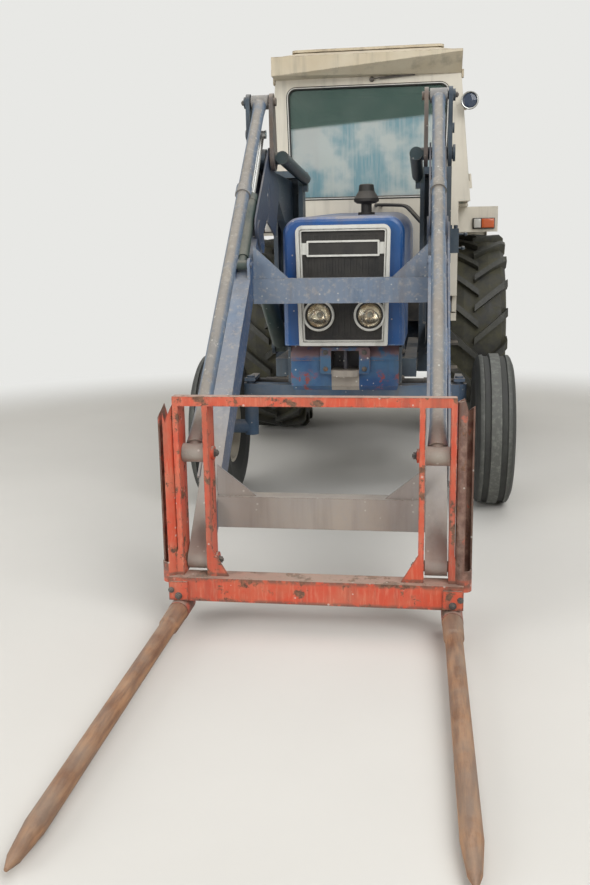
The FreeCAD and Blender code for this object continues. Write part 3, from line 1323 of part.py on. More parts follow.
def cylinder_pair(base, eye, barrel_radius, rod_radius, barrel_length, rod_start, width,
                  eye_radius, base_pin):
    # returns the barrel with its bored base eye, and the rod with its eye
    length = distance(base, eye)

    def station(reach):
        y, z = between(base, eye, reach / length)
        return V(arm_x, y, z)

    neck_end = eye_radius + 24
    barrel = cyl(barrel_radius, station(neck_end), station(barrel_length))
    neck_radius = min(width / 2 - 2, barrel_radius - 4, eye_radius - 3)
    neck = cyl(neck_radius, station(0), station(neck_end + 5))
    gland = cyl(barrel_radius + 2, station(barrel_length - 40), station(barrel_length))
    base_eye = cyl_x(eye_radius, arm_x - width / 2, arm_x + width / 2, base[0], base[1])
    cavity = cyl(rod_radius + pin_fit, station(neck_end + 14), station(barrel_length + 10))
    bore = cyl_x(base_pin + pin_fit, arm_x - 90, arm_x + 90, base[0], base[1])
    barrel = union([barrel, neck, gland, base_eye]).cut(cavity).cut(bore)
    rod = cyl(rod_radius, station(rod_start), station(length))
    rod_eye = cyl_x(eye_radius, arm_x - width / 2, arm_x + width / 2, eye[0], eye[1])
    return barrel, union([rod, rod_eye])


lift_barrel, lift_rod = cylinder_pair(lift_base_pin, lift_boom_pin, lift_barrel_radius,
                                      lift_rod_radius, lift_barrel_length, lift_rod_start,
                                      58, 34, pin_radius)
tilt_barrel, tilt_rod = cylinder_pair(tilt_boom_pin, tilt_rocker_pin, tilt_barrel_radius,
                                      tilt_rod_radius, tilt_barrel_length, tilt_rod_start,
                                      46, 21, tilt_pin_radius)
shapes["lift_barrels"] = both(lift_barrel)
shapes["lift_rods"] = both(lift_rod)
shapes["tilt_barrels"] = both(tilt_barrel)
shapes["tilt_rods"] = both(tilt_rod)

# Fork carriage: lower beam, top angle, posts in pairs with foot gussets, pin heads
# and a torn half pipe at each edge
beam_rear = carriage_front + beam_depth
carriage = [box(-carriage_half, carriage_half, carriage_front, beam_rear, beam_low, beam_high),
            box(-top_bar_half, top_bar_half, post_front, post_front + top_bar_depth,
                top_bar_high - angle_thickness, top_bar_high),
            box(-top_bar_half, top_bar_half, post_front, post_front + angle_thickness,
                top_bar_high - top_bar_height, top_bar_high)]
post_half = post_gap / 2 + post_thickness
# columns: side, share of the pipe kept at the top, height where it is torn
for side, tear_in, tear_out in ((-1, 1.0, 0.86), (1, 0.97, 0.99)):
    for inner in (post_gap / 2, -post_half):
        x0 = side * arm_x + inner
        carriage.append(box(x0, x0 + post_thickness, post_front, post_front + post_depth,
                            beam_high - 1, top_bar_high - angle_thickness + 1))
    for edge, reach in ((-post_half, -60), (post_half, 30)):
        x0 = side * (arm_x + edge)
        carriage.append(front_plate([(x0, beam_high - 1), (x0 + side * reach, beam_high - 1),
                                     (x0, beam_high + 100)], post_front, post_front + 9))
    carriage.append(cyl_x(pin_radius, side * arm_x - post_half - 8, side * arm_x + post_half + 8,
                          fork_pin[0], fork_pin[1]))
    for pin, radius in ((fork_pin, 29), (link_pin, 25)):
        for end in (-1, 1):
            face = side * arm_x + end * (post_half - 1)
            carriage.append(cyl_x(radius, face, face + end * 10, pin[0], pin[1]))
    pipe_x = side * edge_pipe_x
    pipe_low = beam_low + 62
    pipe = cyl(edge_pipe_radius, V(pipe_x, edge_pipe_y, pipe_low),
               V(pipe_x, edge_pipe_y, top_bar_high))
    pipe = pipe.cut(cyl(edge_pipe_radius - edge_pipe_wall, V(pipe_x, edge_pipe_y, beam_high + 30),
                        V(pipe_x, edge_pipe_y, top_bar_high + 10)))
    pipe = pipe.cut(side_box(side, edge_pipe_x + 2, edge_pipe_x + 40, edge_pipe_y - 40,
                             edge_pipe_y + 6, beam_high + 50, top_bar_high + 10))
    tear = [(side * (edge_pipe_x - 40), beam_high + tear_in * (top_bar_high - beam_high)),
            (side * (edge_pipe_x - 6), beam_high + tear_out * (top_bar_high - beam_high)),
            (side * (edge_pipe_x + 8), beam_high + tear_in * (top_bar_high - beam_high) - 30),
            (side * (edge_pipe_x + 40), beam_high + tear_out * (top_bar_high - beam_high) - 12),
            (side * (edge_pipe_x + 40), top_bar_high + 20),
            (side * (edge_pipe_x - 40), top_bar_high + 20)]
    pipe = pipe.cut(front_plate(tear, edge_pipe_y - 40, edge_pipe_y + 40))
    carriage.append(pipe)
carriage = union(carriage)

# Tines: round bars in sockets under the beam, a sleeve at the root and a short point
tines = []
for side, reach in ((-1, tine_reach_image_left), (1, tine_reach_image_right)):
    x = side * tine_x
    root = V(x, beam_rear, tine_axis_z)
    tip = V(x * 1.03, carriage_front - reach, tine_tip_z)
    whole = tip.sub(root)
    along = whole.Length
    whole.normalize()
    stop = beam_rear - carriage_front + socket_stand_out
    profile = [(0, 0), (tine_root_radius, 0), (tine_root_radius, stop + 2),
               (tine_sleeve_radius, stop + 2),
               (tine_sleeve_radius - 2, stop + tine_sleeve_length),
               (tine_radius + 2, stop + tine_sleeve_length + 16),
               (tine_radius, along - tine_taper), (tine_radius * 0.62, along - 40),
               (5, along), (0, along)]
    bar = face_of([V(r, 0, d) for r, d in profile]).revolve(V(0, 0, 0), V(0, 0, 1), 360)
    bar.Placement = FreeCAD.Placement(root, FreeCAD.Rotation(V(0, 0, 1), whole))
    tines.append(bar)
    socket = cyl(tine_root_radius + socket_wall, root, root.add(whole * stop))
    hole = cyl(tine_root_radius + pin_fit, root.sub(whole * 20), root.add(whole * (stop + 20)))
    ears = box(x - 34, x + 34, carriage_front - 8, carriage_front + 1, beam_low + 4, beam_high - 14)
    carriage = carriage.fuse([socket, ears]).cut(hole)
shapes["carriage"] = carriage.removeSplitter()
shapes["tines"] = group(tines)

# Rear linkage: lower links, lift arms with their rods, top link and drawbar
hitch = []
link_hang = between(lower_link_root, lower_link_end, 0.58)
cross_y = lift_shaft[0]
hitch.append(cyl_x(34, -lift_arm_x - 16, lift_arm_x + 16, lift_shaft[0], lift_shaft[1]))
for side in (-1, 1):
    x0 = side * lower_link_x - lower_link_thickness / 2
    x1 = x0 + lower_link_thickness
    lower_link = plate_with_eyes(lower_link_root, lower_link_end, 40, 42, x0, x1)
    lower_link = lower_link.cut(cyl_x(link_eye_radius, x0 - 5, x1 + 5, lower_link_end[0],
                                      lower_link_end[1]))
    hitch.append(lower_link)
    hitch.append(cyl_x(25, side * gearbox_half, side * (lower_link_x + 30), lower_link_root[0],
                       lower_link_root[1]))
    arm = plate_with_eyes(lift_shaft, lift_arm_end, 48, 28, side * lift_arm_x - 13,
                          side * lift_arm_x + 13)
    head = V(side * lift_arm_x, lift_arm_end[0], lift_arm_end[1])
    foot = V(side * lower_link_x, link_hang[0], link_hang[1] + 10)
    middle = head.add(foot) * 0.5
    down = foot.sub(head)
    down.normalize()
    hitch.extend([arm, cyl(12, head, foot), cyl(20, middle.sub(down * 70), middle.add(down * 70)),
                  cyl_x(16, side * (lift_arm_x + 10), side * (lift_arm_x + 34), lift_arm_end[0],
                        lift_arm_end[1])])
drawbar = box(-45, 45, wheelbase - 310, drawbar_hole_y + 50, drawbar_low,
              drawbar_low + drawbar_thickness)
drawbar = drawbar.cut(cyl(drawbar_hole_radius, V(0, drawbar_hole_y, drawbar_low - 20),
                          V(0, drawbar_hole_y, drawbar_low + 60)))
hitch.append(drawbar)
hitch.append(box(-90, 90, gearbox_deck, wheelbase + 190, drawbar_low + drawbar_thickness - 1,
                 gearbox_low))
hitch.append(box(-60, 60, gearbox_rear, gearbox_rear + 26, 700, 800))
for side in (-1, 1):
    hitch.append(plate_with_eyes(top_link_root, (gearbox_rear + 10, 770), 24, 24, side * 34 - 7,
                                 side * 34 + 7))
hitch.append(plate_with_eyes(top_link_root, between(top_link_root, top_link_end, 0.2), 22, 17,
                             -28, 28))
hitch.append(cyl(17, V(0, top_link_root[0], top_link_root[1]), V(0, top_link_end[0],
                                                               top_link_end[1])))
top_eye = cyl_x(30, -16, 16, top_link_end[0], top_link_end[1])
hitch.append(top_eye)
hitch = union(hitch).cut(cyl_x(12.9, -40, 40, top_link_end[0], top_link_end[1]))
for side in (-1, 1):
    hitch = hitch.fuse(side_box(side, 110, 150, gearbox_rear - 6, lift_shaft[0] + 30,
                                lift_shaft[1] - 60, lift_shaft[1] + 20))
hitch = hitch.cut(shapes["transmission"])
shapes["rear_hitch"] = hitch.removeSplitter()

# Move everything so that the origin lies under the middle of the machine
bounds = group(list(shapes.values())).BoundBox
centre_y = (bounds.YMin + bounds.YMax) / 2
centre_x = (bounds.XMin + bounds.XMax) / 2
for name, shape in shapes.items():
    shape.translate(V(-centre_x, -centre_y, 0))
    shape.exportStep("parts/" + name + ".step")
    print(name, len(shape.Solids), round(shape.Volume / 1e6, 2), shape.isValid())
print("shift", centre_x, centre_y, bounds.XLength, bounds.YLength, bounds.ZMin, bounds.ZMax)
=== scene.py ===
# %% [markdown]
# A farm tractor with a front loader, dressed for its picture.
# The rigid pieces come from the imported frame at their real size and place.
# This lesson gives every one of them a finish that reads like worn paint, rubber, glass or steel.
# Then it adds what the frame leaves out or keeps plain: soft seat pads, lamp glass and reflectors,
# window seals, a wiper and bolts.

# %% Load the frame
import math

import bmesh
import bpy
from mathutils import Matrix, Vector


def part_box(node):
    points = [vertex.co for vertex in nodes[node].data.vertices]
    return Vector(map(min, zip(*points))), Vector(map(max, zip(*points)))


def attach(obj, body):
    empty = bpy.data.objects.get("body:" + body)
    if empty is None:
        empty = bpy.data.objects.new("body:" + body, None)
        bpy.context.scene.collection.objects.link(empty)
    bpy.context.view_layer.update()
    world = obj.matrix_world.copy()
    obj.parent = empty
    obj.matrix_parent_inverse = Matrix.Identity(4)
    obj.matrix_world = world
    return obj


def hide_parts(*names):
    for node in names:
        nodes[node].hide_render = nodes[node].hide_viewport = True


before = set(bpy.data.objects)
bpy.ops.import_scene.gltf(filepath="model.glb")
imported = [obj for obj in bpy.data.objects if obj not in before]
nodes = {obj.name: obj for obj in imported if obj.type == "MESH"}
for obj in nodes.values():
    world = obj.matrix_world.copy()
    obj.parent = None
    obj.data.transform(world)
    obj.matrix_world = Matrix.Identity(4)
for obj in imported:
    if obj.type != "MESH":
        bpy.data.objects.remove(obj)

scene = bpy.context.scene
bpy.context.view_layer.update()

# %% [markdown]
# The camera stands where the photograph was taken: a little to the tractor's left of its middle, at chest
# height. It looks slightly down, is turned a few degrees and leans by less than one degree.
# The lens comes from a fit of the photograph's perspective to the usual wheels and bonnet of such a tractor.

# %% Camera
CAMERA_PLACE = Vector((0.387, -4.7974, 1.338))
CAMERA_YAW = math.radians(-8.30)
CAMERA_PITCH = math.radians(11.68)
CAMERA_ROLL = math.radians(0.93)
FOCAL_PIXELS = 903.5
PICTURE_HEIGHT = 885
SENSOR_MM = 36.0


def camera_axes(yaw, pitch, roll):
    ahead = Vector((math.sin(yaw) * math.cos(pitch), math.cos(yaw) * math.cos(pitch), -math.sin(pitch)))
    level_right = Vector((math.cos(yaw), -math.sin(yaw), 0.0))
    level_down = ahead.cross(level_right)
    right = math.cos(roll) * level_right + math.sin(roll) * level_down
    down = -math.sin(roll) * level_right + math.cos(roll) * level_down
    return right, -down, -ahead


camera_data = bpy.data.cameras.new("camera")
camera_data.sensor_width = SENSOR_MM
camera_data.sensor_fit = "AUTO"
camera_data.lens = SENSOR_MM * FOCAL_PIXELS / PICTURE_HEIGHT
camera = bpy.data.objects.new("camera", camera_data)
scene.collection.objects.link(camera)
axes = camera_axes(CAMERA_YAW, CAMERA_PITCH, CAMERA_ROLL)
turn = Matrix(axes).transposed().to_4x4()
camera.matrix_world = Matrix.Translation(CAMERA_PLACE) @ turn
scene.camera = camera
print("lens", round(camera_data.lens, 2), "mm")

# %% [markdown]
# Most steps act on one piece at a time, so a few short helpers select it, enter edit mode and put its place
# in its mesh. An operator works on whatever is selected, and the frame's pieces arrive selected, so each
# helper clears that first.


# %% Helpers for modelling
def pick(*pieces):
    bpy.ops.object.select_all(action="DESELECT")
    for piece in pieces:
        piece.select_set(True)
    bpy.context.view_layer.objects.active = pieces[0]


def settle(piece):
    pick(piece)
    bpy.ops.object.transform_apply(location=True, rotation=True, scale=True)


def start_edit(piece, kind):
    pick(piece)
    bpy.ops.object.mode_set(mode="EDIT")
    bpy.ops.mesh.select_mode(type=kind)


def end_edit():
    bpy.ops.object.mode_set(mode="OBJECT")


def apply_all(piece):
    pick(piece)
    for modifier in list(piece.modifiers):
        bpy.ops.object.modifier_apply(modifier=modifier.name)


def bevelled(piece, width, segments):
    modifier = piece.modifiers.new("bevel", "BEVEL")
    modifier.width = width
    modifier.segments = segments
    modifier.limit_method = "ANGLE"
    apply_all(piece)
    return piece


def block_between(low, high):
    bpy.ops.object.select_all(action="DESELECT")
    bpy.ops.mesh.primitive_cube_add(size=1.0)
    block = bpy.context.object
    block.scale = Vector(high) - Vector(low)
    block.location = (Vector(low) + Vector(high)) / 2
    settle(block)
    return block


def joined(pieces, name):
    pick(*pieces)
    if len(pieces) > 1:
        bpy.ops.object.join()
    whole = bpy.context.view_layer.objects.active
    whole.name = name
    return whole


def smooth(piece, degrees):
    pick(piece)
    bpy.ops.object.shade_smooth_by_angle(angle=math.radians(degrees))


def hand_over(piece, name, body, material):
    settle(piece)
    piece.name = name
    piece.data.materials.clear()
    piece.data.materials.append(material)
    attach(piece, body)
    return piece


def finished(pieces, name, degrees, body, material):
    whole = joined(pieces, name)
    smooth(whole, degrees)
    return hand_over(whole, name, body, material)


# %% [markdown]
# Colours are written as the eye reads them on a screen, from 0 to 255, and turned into the linear values
# that the renderer wants. Node trees are easier to read when a sum, a mix or a noise is one call, so these
# come next.


# %% Helpers for materials
def tone(red, green, blue):
    def linear(value):
        share = value / 255.0
        if share <= 0.04045:
            return share / 12.92
        return ((share + 0.055) / 1.055) ** 2.4

    return (linear(red), linear(green), linear(blue), 1.0)


def feed(tree, target, value):
    if isinstance(value, bpy.types.NodeSocket):
        tree.links.new(value, target)
    else:
        target.default_value = value


def add(tree, kind, **settings):
    node = tree.nodes.new("ShaderNode" + kind)
    for key, value in settings.items():
        setattr(node, key, value)
    return node


def raw(tree, operation, first, second=0.0, clamped=False):
    node = add(tree, "Math", operation=operation, use_clamp=clamped)
    feed(tree, node.inputs[0], first)
    feed(tree, node.inputs[1], second)
    return node.outputs[0]


def calc(tree, operation, result, *others):
    # every step of the sum is kept between 0 and 1
    for other in others:
        result = raw(tree, operation, result, other, clamped=True)
    return result


def times(tree, *masks):
    return calc(tree, "MULTIPLY", *masks)


def step(tree, value, low, high):
    node = add(tree, "MapRange", interpolation_type="SMOOTHSTEP")
    feed(tree, node.inputs["Value"], value)
    feed(tree, node.inputs["From Min"], low)
    feed(tree, node.inputs["From Max"], high)
    return node.outputs[0]


def noise(tree, vector, scale, detail=4.0, roughness=0.55):
    node = add(tree, "TexNoise")
    feed(tree, node.inputs["Vector"], vector)
    feed(tree, node.inputs["Scale"], scale)
    node.inputs["Detail"].default_value = detail
    node.inputs["Roughness"].default_value = roughness
    return node.outputs[0]


def patches(tree, vector, low, high, scale, detail=4.0, roughness=0.55):
    return step(tree, noise(tree, vector, scale, detail, roughness), low, high)


def stretched(tree, vector, scale):
    node = add(tree, "Mapping")
    feed(tree, node.inputs["Vector"], vector)
    node.inputs["Scale"].default_value = scale
    return node.outputs[0]


def mixed(tree, share, first, second):
    node = add(tree, "Mix", data_type="RGBA")
    feed(tree, node.inputs[0], share)
    feed(tree, node.inputs[6], first)
    feed(tree, node.inputs[7], second)
    return node.outputs[2]


def mixed_value(tree, share, first, second):
    node = add(tree, "Mix", data_type="FLOAT")
    feed(tree, node.inputs[0], share)
    feed(tree, node.inputs[2], first)
    feed(tree, node.inputs[3], second)
    return node.outputs[0]


def parts_of(tree, vector):
    node = add(tree, "SeparateXYZ")
    feed(tree, node.inputs[0], vector)
    return node.outputs


def apart(tree, value, middle):
    return raw(tree, "ABSOLUTE", raw(tree, "SUBTRACT", value, middle))


def object_point(tree):
    return add(tree, "TexCoord").outputs["Object"]


def object_normal(tree):
    return add(tree, "TexCoord").outputs["Normal"]


# %% [markdown]
# Every painted part of an old machine shares the same ageing: paint goes at the edges first, dust lies on
# what faces up, rain and oil run down, rust blooms in patches and small pale splashes dry on the surface.
# Each effect is a node group built once, which gives out only a mask, a colour or a height, so any material
# can use it with its own strength.


# %% Shared effects
def new_group(name, inputs, outputs):
    group = bpy.data.node_groups.new(name, "ShaderNodeTree")
    for label, value in inputs:
        socket = group.interface.new_socket(label, in_out="INPUT", socket_type="NodeSocketFloat")
        socket.default_value = value
    for label, kind in outputs:
        group.interface.new_socket(label, in_out="OUTPUT", socket_type="NodeSocket" + kind)
    start = group.nodes.new("NodeGroupInput")
    end = group.nodes.new("NodeGroupOutput")
    return group, start.outputs, end.inputs


def build_edge_wear():
    group, given, result = new_group(
        "edge wear", [("Width", 0.006), ("Scale", 30.0), ("Amount", 0.5)], [("Mask", "Float")])
    rounded = add(group, "Bevel", samples=4)
    feed(group, rounded.inputs["Radius"], given["Width"])
    flat = add(group, "NewGeometry")
    dot = add(group, "VectorMath", operation="DOT_PRODUCT")
    group.links.new(rounded.outputs[0], dot.inputs[0])
    group.links.new(flat.outputs["Normal"], dot.inputs[1])
    edge = step(group, dot.outputs["Value"], 0.998, 0.88)
    ragged = patches(group, object_point(group), 0.42, 0.58, given["Scale"], 5.0, 0.65)
    group.links.new(times(group, edge, ragged, given["Amount"]), result["Mask"])
    return group


def build_dust():
    group, given, result = new_group(
        "dust film", [("Amount", 0.4), ("Scale", 3.0), ("Floor", 0.15)], [("Mask", "Float")])
    up = calc(group, "MAXIMUM", parts_of(group, object_normal(group))[2], 0.0)
    lying = mixed_value(group, step(group, up, 0.15, 0.85), given["Floor"], 1.0)
    cloud = patches(group, object_point(group), 0.28, 0.62, given["Scale"], 6.0, 0.6)
    fine = mixed_value(group, noise(group, object_point(group), 90.0, 3.0, 0.7), 0.7, 1.25)
    group.links.new(times(group, lying, cloud, fine, given["Amount"]), result["Mask"])
    return group


def build_runs():
    group, given, result = new_group("runs", [("Amount", 0.4), ("Scale", 14.0)], [("Mask", "Float")])
    long_way = stretched(group, object_point(group), (1.0, 1.0, 0.09))
    lines = patches(group, long_way, 0.48, 0.72, given["Scale"], 4.0, 0.6)
    group.links.new(times(group, lines, given["Amount"]), result["Mask"])
    return group


def build_rust():
    group, given, result = new_group(
        "rust", [("Cover", 0.3), ("Scale", 6.0)], [("Mask", "Float"), ("Color", "Color")])
    point = object_point(group)
    edge = raw(group, "SUBTRACT", 0.78, raw(group, "MULTIPLY", given["Cover"], 0.56))
    mask = patches(group, point, edge, raw(group, "ADD", edge, 0.05), given["Scale"], 8.0, 0.68)
    depth = patches(group, point, 0.35, 0.65, 60.0, 5.0, 0.7)
    group.links.new(mask, result["Mask"])
    group.links.new(mixed(group, depth, tone(78, 48, 36), tone(138, 92, 66)), result["Color"])
    return group


def build_splashes():
    group, given, result = new_group("splashes", [("Amount", 0.6), ("Scale", 34.0)], [("Mask", "Float")])
    cells = add(group, "TexVoronoi", feature="F1")
    feed(group, cells.inputs["Vector"], object_point(group))
    feed(group, cells.inputs["Scale"], given["Scale"])
    chosen = step(group, parts_of(group, cells.outputs["Color"])[0], 0.70, 0.72)
    dot = step(group, cells.outputs["Distance"], 0.17, 0.11)
    group.links.new(times(group, chosen, dot, given["Amount"]), result["Mask"])
    return group


def build_grain():
    group, given, result = new_group("grain", [("Fine", 420.0), ("Coarse", 26.0)], [("Height", "Float")])
    point = object_point(group)
    coarse = noise(group, point, given["Coarse"], 4.0, 0.5)
    fine = noise(group, point, given["Fine"], 2.0, 0.5)
    group.links.new(mixed_value(group, 0.35, coarse, fine), result["Height"])
    return group


EDGE_WEAR = build_edge_wear()
DUST = build_dust()
RUNS = build_runs()
RUST = build_rust()
SPLASHES = build_splashes()
GRAIN = build_grain()


def effect(tree, group, **values):
    node = tree.nodes.new("ShaderNodeGroup")
    node.node_tree = group
    for label, value in values.items():
        feed(tree, node.inputs[label.capitalize()], value)
    return node.outputs


print("shared effects:", [g.name for g in bpy.data.node_groups])


# %% [markdown]
# A material starts from one Principled shader. The layers are laid over each other in the order in which they
# came on the real machine: paint, fading, primer or bare metal at the edges, rust, runs of dirt, dust and
# last the dried splashes. Worn, rusty and dusty places are dull, and the worn ones lie a little lower.


# %% The painted finish
GRIME_TONE = tone(62, 58, 52)
DUST_TONE = tone(168, 158, 144)
SPLASH_TONE = tone(206, 204, 196)
WORN_DEPTH = 0.12


def new_material(name):
    material = bpy.data.materials.new(name)
    material.use_nodes = True
    tree = material.node_tree
    shader = tree.nodes["Principled BSDF"]
    return material, tree, shader


def coat(tree, shader, colour, roughness):
    feed(tree, shader.inputs["Base Color"], colour)
    feed(tree, shader.inputs["Roughness"], roughness)


def bump(tree, shader, height, strength, distance=0.002):
    node = add(tree, "Bump")
    node.inputs["Strength"].default_value = strength
    node.inputs["Distance"].default_value = distance
    feed(tree, node.inputs["Height"], height)
    tree.links.new(node.outputs[0], shader.inputs["Normal"])


def aged(tree, shader, paint, bare, wear=(0.005, 30.0, 0.7), rust=(0.12, 7.0), runs=0.25,
         dust=(0.35, 3.0, 0.2), splashes=0.5, gloss=0.34, dull_gloss=0.78, grain=0.12):
    worn = effect(tree, EDGE_WEAR, width=wear[0], scale=wear[1], amount=wear[2])["Mask"]
    rusted = effect(tree, RUST, cover=rust[0], scale=rust[1])
    run = effect(tree, RUNS, amount=runs)["Mask"]
    film = effect(tree, DUST, amount=dust[0], scale=dust[1], floor=dust[2])["Mask"]
    spots = effect(tree, SPLASHES, amount=splashes)["Mask"]
    colour = mixed(tree, worn, paint, bare)
    colour = mixed(tree, rusted["Mask"], colour, rusted["Color"])
    colour = mixed(tree, run, colour, GRIME_TONE)
    colour = mixed(tree, film, colour, DUST_TONE)
    colour = mixed(tree, spots, colour, SPLASH_TONE)
    dull = calc(tree, "MAXIMUM", worn, film, rusted["Mask"])
    height = calc(tree, "SUBTRACT", effect(tree, GRAIN)["Height"], times(tree, dull, WORN_DEPTH))
    coat(tree, shader, colour, mixed_value(tree, dull, gloss, dull_gloss))
    bump(tree, shader, height, grain)


def painted(name, fresh, faded, bare, fading=0.5, **ageing):
    material, tree, shader = new_material(name)
    clouds = patches(tree, object_point(tree), 0.30, 0.70, 2.2, 6.0, 0.6)
    paint = mixed(tree, times(tree, clouds, fading), fresh, faded)
    aged(tree, shader, paint, bare, **ageing)
    return material


# %% [markdown]
# The bonnet is the only part that still shows the strong blue of the factory paint, with dust on its top.
# The casting under it has lost much of its paint at the top edge, down to a dull red primer, with red patches
# low at its corners. Its tow pocket gets painted shade inside, and the tongue in it is bare. Axle and engine
# are duller.


# %% Blue paints
NOSE_MIDDLE = 0.004
PRIMER_FROM = 0.842
PRIMER_FULL = 0.868
CORNER_IN = 0.12
CORNER_OUT = 0.17
CORNER_TOP = 0.80
CORNER_LOW = 0.765
TONGUE_HALF = 0.068
TONGUE_TOP = 0.797
TONGUE_BACK = -0.40
POCKET_HALF = 0.069
POCKET_LOW = 0.791
POCKET_TOP = 0.887
POCKET_MOUTH = -0.462


def casting_blue():
    material, tree, shader = new_material("casting_blue")
    point = object_point(tree)
    across, along, rise = parts_of(tree, point)
    aside = apart(tree, across, NOSE_MIDDLE)
    paint = mixed(tree, patches(tree, point, 0.35, 0.7, 5.0, 6.0), tone(18, 66, 118), tone(62, 102, 134))
    ragged = raw(tree, "MULTIPLY", raw(tree, "SUBTRACT", noise(tree, point, 9.0, 7.0, 0.7), 0.5), 0.12)
    band = step(tree, raw(tree, "ADD", rise, ragged), PRIMER_FROM, PRIMER_FULL)
    primer = times(tree, band, patches(tree, point, 0.38, 0.52, 13.0, 6.0, 0.7), 0.85)
    paint = mixed(tree, primer, paint, tone(118, 84, 78))
    flaked = times(tree, step(tree, aside, CORNER_IN, CORNER_OUT), step(tree, rise, CORNER_TOP, CORNER_LOW),
                   patches(tree, point, 0.50, 0.60, 19.0, 8.0, 0.72))
    paint = mixed(tree, flaked, paint, tone(140, 58, 54))
    tongue = times(tree, step(tree, aside, TONGUE_HALF, TONGUE_HALF - 0.002),
                   step(tree, rise, TONGUE_TOP, TONGUE_TOP - 0.001),
                   step(tree, along, TONGUE_BACK, TONGUE_BACK - 0.02))
    paint = mixed(tree, tongue, paint, tone(164, 156, 146))
    # painted shade: the inside of the tow pocket is darkened to a dark brown
    pocket_shade = times(tree, step(tree, aside, POCKET_HALF + 0.001, POCKET_HALF),
                      step(tree, rise, POCKET_LOW, POCKET_LOW + 0.001),
                      step(tree, rise, POCKET_TOP + 0.001, POCKET_TOP),
                      step(tree, along, POCKET_MOUTH, POCKET_MOUTH + 0.012), 0.85)
    paint = mixed(tree, pocket_shade, paint, tone(52, 42, 36))
    aged(tree, shader, paint, tone(128, 104, 92), wear=(0.006, 26.0, 0.8), rust=(0.10, 9.0), runs=0.3,
         dust=(0.40, 4.0, 0.12), splashes=0.8, gloss=0.42, dull_gloss=0.8, grain=0.25)
    return material


HOOD_BLUE = painted(
    "hood_blue", tone(6, 70, 136), tone(34, 94, 150), tone(146, 160, 172),
    wear=(0.012, 26.0, 0.75), rust=(0.07, 9.0), runs=0.28, dust=(0.72, 5.0, 0.06), gloss=0.3)
CASTING_BLUE = casting_blue()
AXLE_BLUE = painted(
    "axle_blue", tone(58, 92, 126), tone(104, 122, 138), tone(104, 86, 74), fading=0.9,
    rust=(0.2, 9.0), runs=0.35, dust=(0.8, 5.0, 0.3), gloss=0.5)
ENGINE_BLUE = painted(
    "engine_blue", tone(30, 52, 78), tone(52, 72, 92), tone(70, 66, 62), fading=0.8,
    rust=(0.25, 11.0), runs=0.55, dust=(0.5, 5.0, 0.35), splashes=0.2, gloss=0.5, grain=0.3)
print("blue paints:", HOOD_BLUE.name, CASTING_BLUE.name, AXLE_BLUE.name, ENGINE_BLUE.name)


# %% [markdown]
# The loader has stood in the weather for years. Its front and upper faces are a dusty grey-blue, speckled
# and stained, while the inner and outer sides, which nothing falls on, keep a cleaner blue. The finish reads
# the surface's own direction to tell them apart. High up the booms get painted shade, a dark navy, and low
# down they are caked in dirt. Towers and rockers are darker: the towers' brace tubes are green-black, the
# inner rocker plates brown.


# %% Loader paints
# height from which the booms' upper part gets painted shade
BOOM_SHADE_FROM = 1.37
BOOM_SHADE_BLEND = 0.06
DIRT_FROM = 1.0
DIRT_FULL = 0.35
ARM_X = 0.435
BRACE_MIDDLE = 0.330
BRACE_REACH = 0.036
BRACE_FROM = 1.74
DUSTY_BLUE = tone(115, 130, 150)


def loader_paint(name, clean, dusty, share=1.0, shade_from=None):
    material, tree, shader = new_material(name)
    point = object_point(tree)
    rise = parts_of(tree, point)[2]
    sideways = raw(tree, "ABSOLUTE", parts_of(tree, object_normal(tree))[0])
    front_grey = step(tree, sideways, 0.85, 0.45)
    clouds = mixed_value(tree, noise(tree, point, 4.0, 6.0), 0.55, 1.25)
    paint = mixed(tree, times(tree, front_grey, clouds, share), clean, dusty)
    scuffed = patches(tree, stretched(tree, point, (1.0, 1.0, 0.35)), 0.54, 0.66, 11.0, 7.0, 0.7)
    paint = mixed(tree, times(tree, scuffed, 0.5), paint, clean)
    speckle = patches(tree, point, 0.50, 0.66, 46.0, 7.0, 0.75)
    paint = mixed(tree, times(tree, speckle, 0.5), paint, tone(176, 171, 162))
    stains = patches(tree, stretched(tree, point, (1.0, 1.0, 0.2)), 0.50, 0.68, 6.0, 6.0, 0.65)
    paint = mixed(tree, times(tree, stains, 0.45), paint, tone(108, 98, 90))
    if shade_from:
        # painted shade: above this height the booms' upper part is darkened to a dark navy
        upper = step(tree, rise, shade_from, shade_from + BOOM_SHADE_BLEND)
        paint = mixed(tree, times(tree, upper, 0.85), paint, tone(42, 58, 82))
    dirt = times(tree, step(tree, rise, DIRT_FROM, DIRT_FULL),
                 mixed_value(tree, noise(tree, point, 3.0, 5.0), 0.55, 1.2),
                 mixed_value(tree, front_grey, 0.35, 1.0),
                 mixed_value(tree, speckle, 1.0, 0.72), 0.92)
    paint = mixed(tree, dirt, paint, tone(172, 160, 146))
    aged(tree, shader, paint, tone(96, 78, 66), wear=(0.004, 40.0, 0.75), rust=(0.13, 12.0), runs=0.22,
         dust=(0.35, 5.0, 0.3), splashes=0.55, gloss=0.5, dull_gloss=0.85, grain=0.18)
    return material


LOADER_BLUE = loader_paint("loader_blue", tone(24, 72, 116), DUSTY_BLUE, shade_from=BOOM_SHADE_FROM)
CROSSBEAM_BLUE = loader_paint("crossbeam_blue", tone(60, 92, 120), DUSTY_BLUE)
LINK_GREY = loader_paint("link_grey", tone(88, 110, 134), tone(136, 129, 118), 0.88)


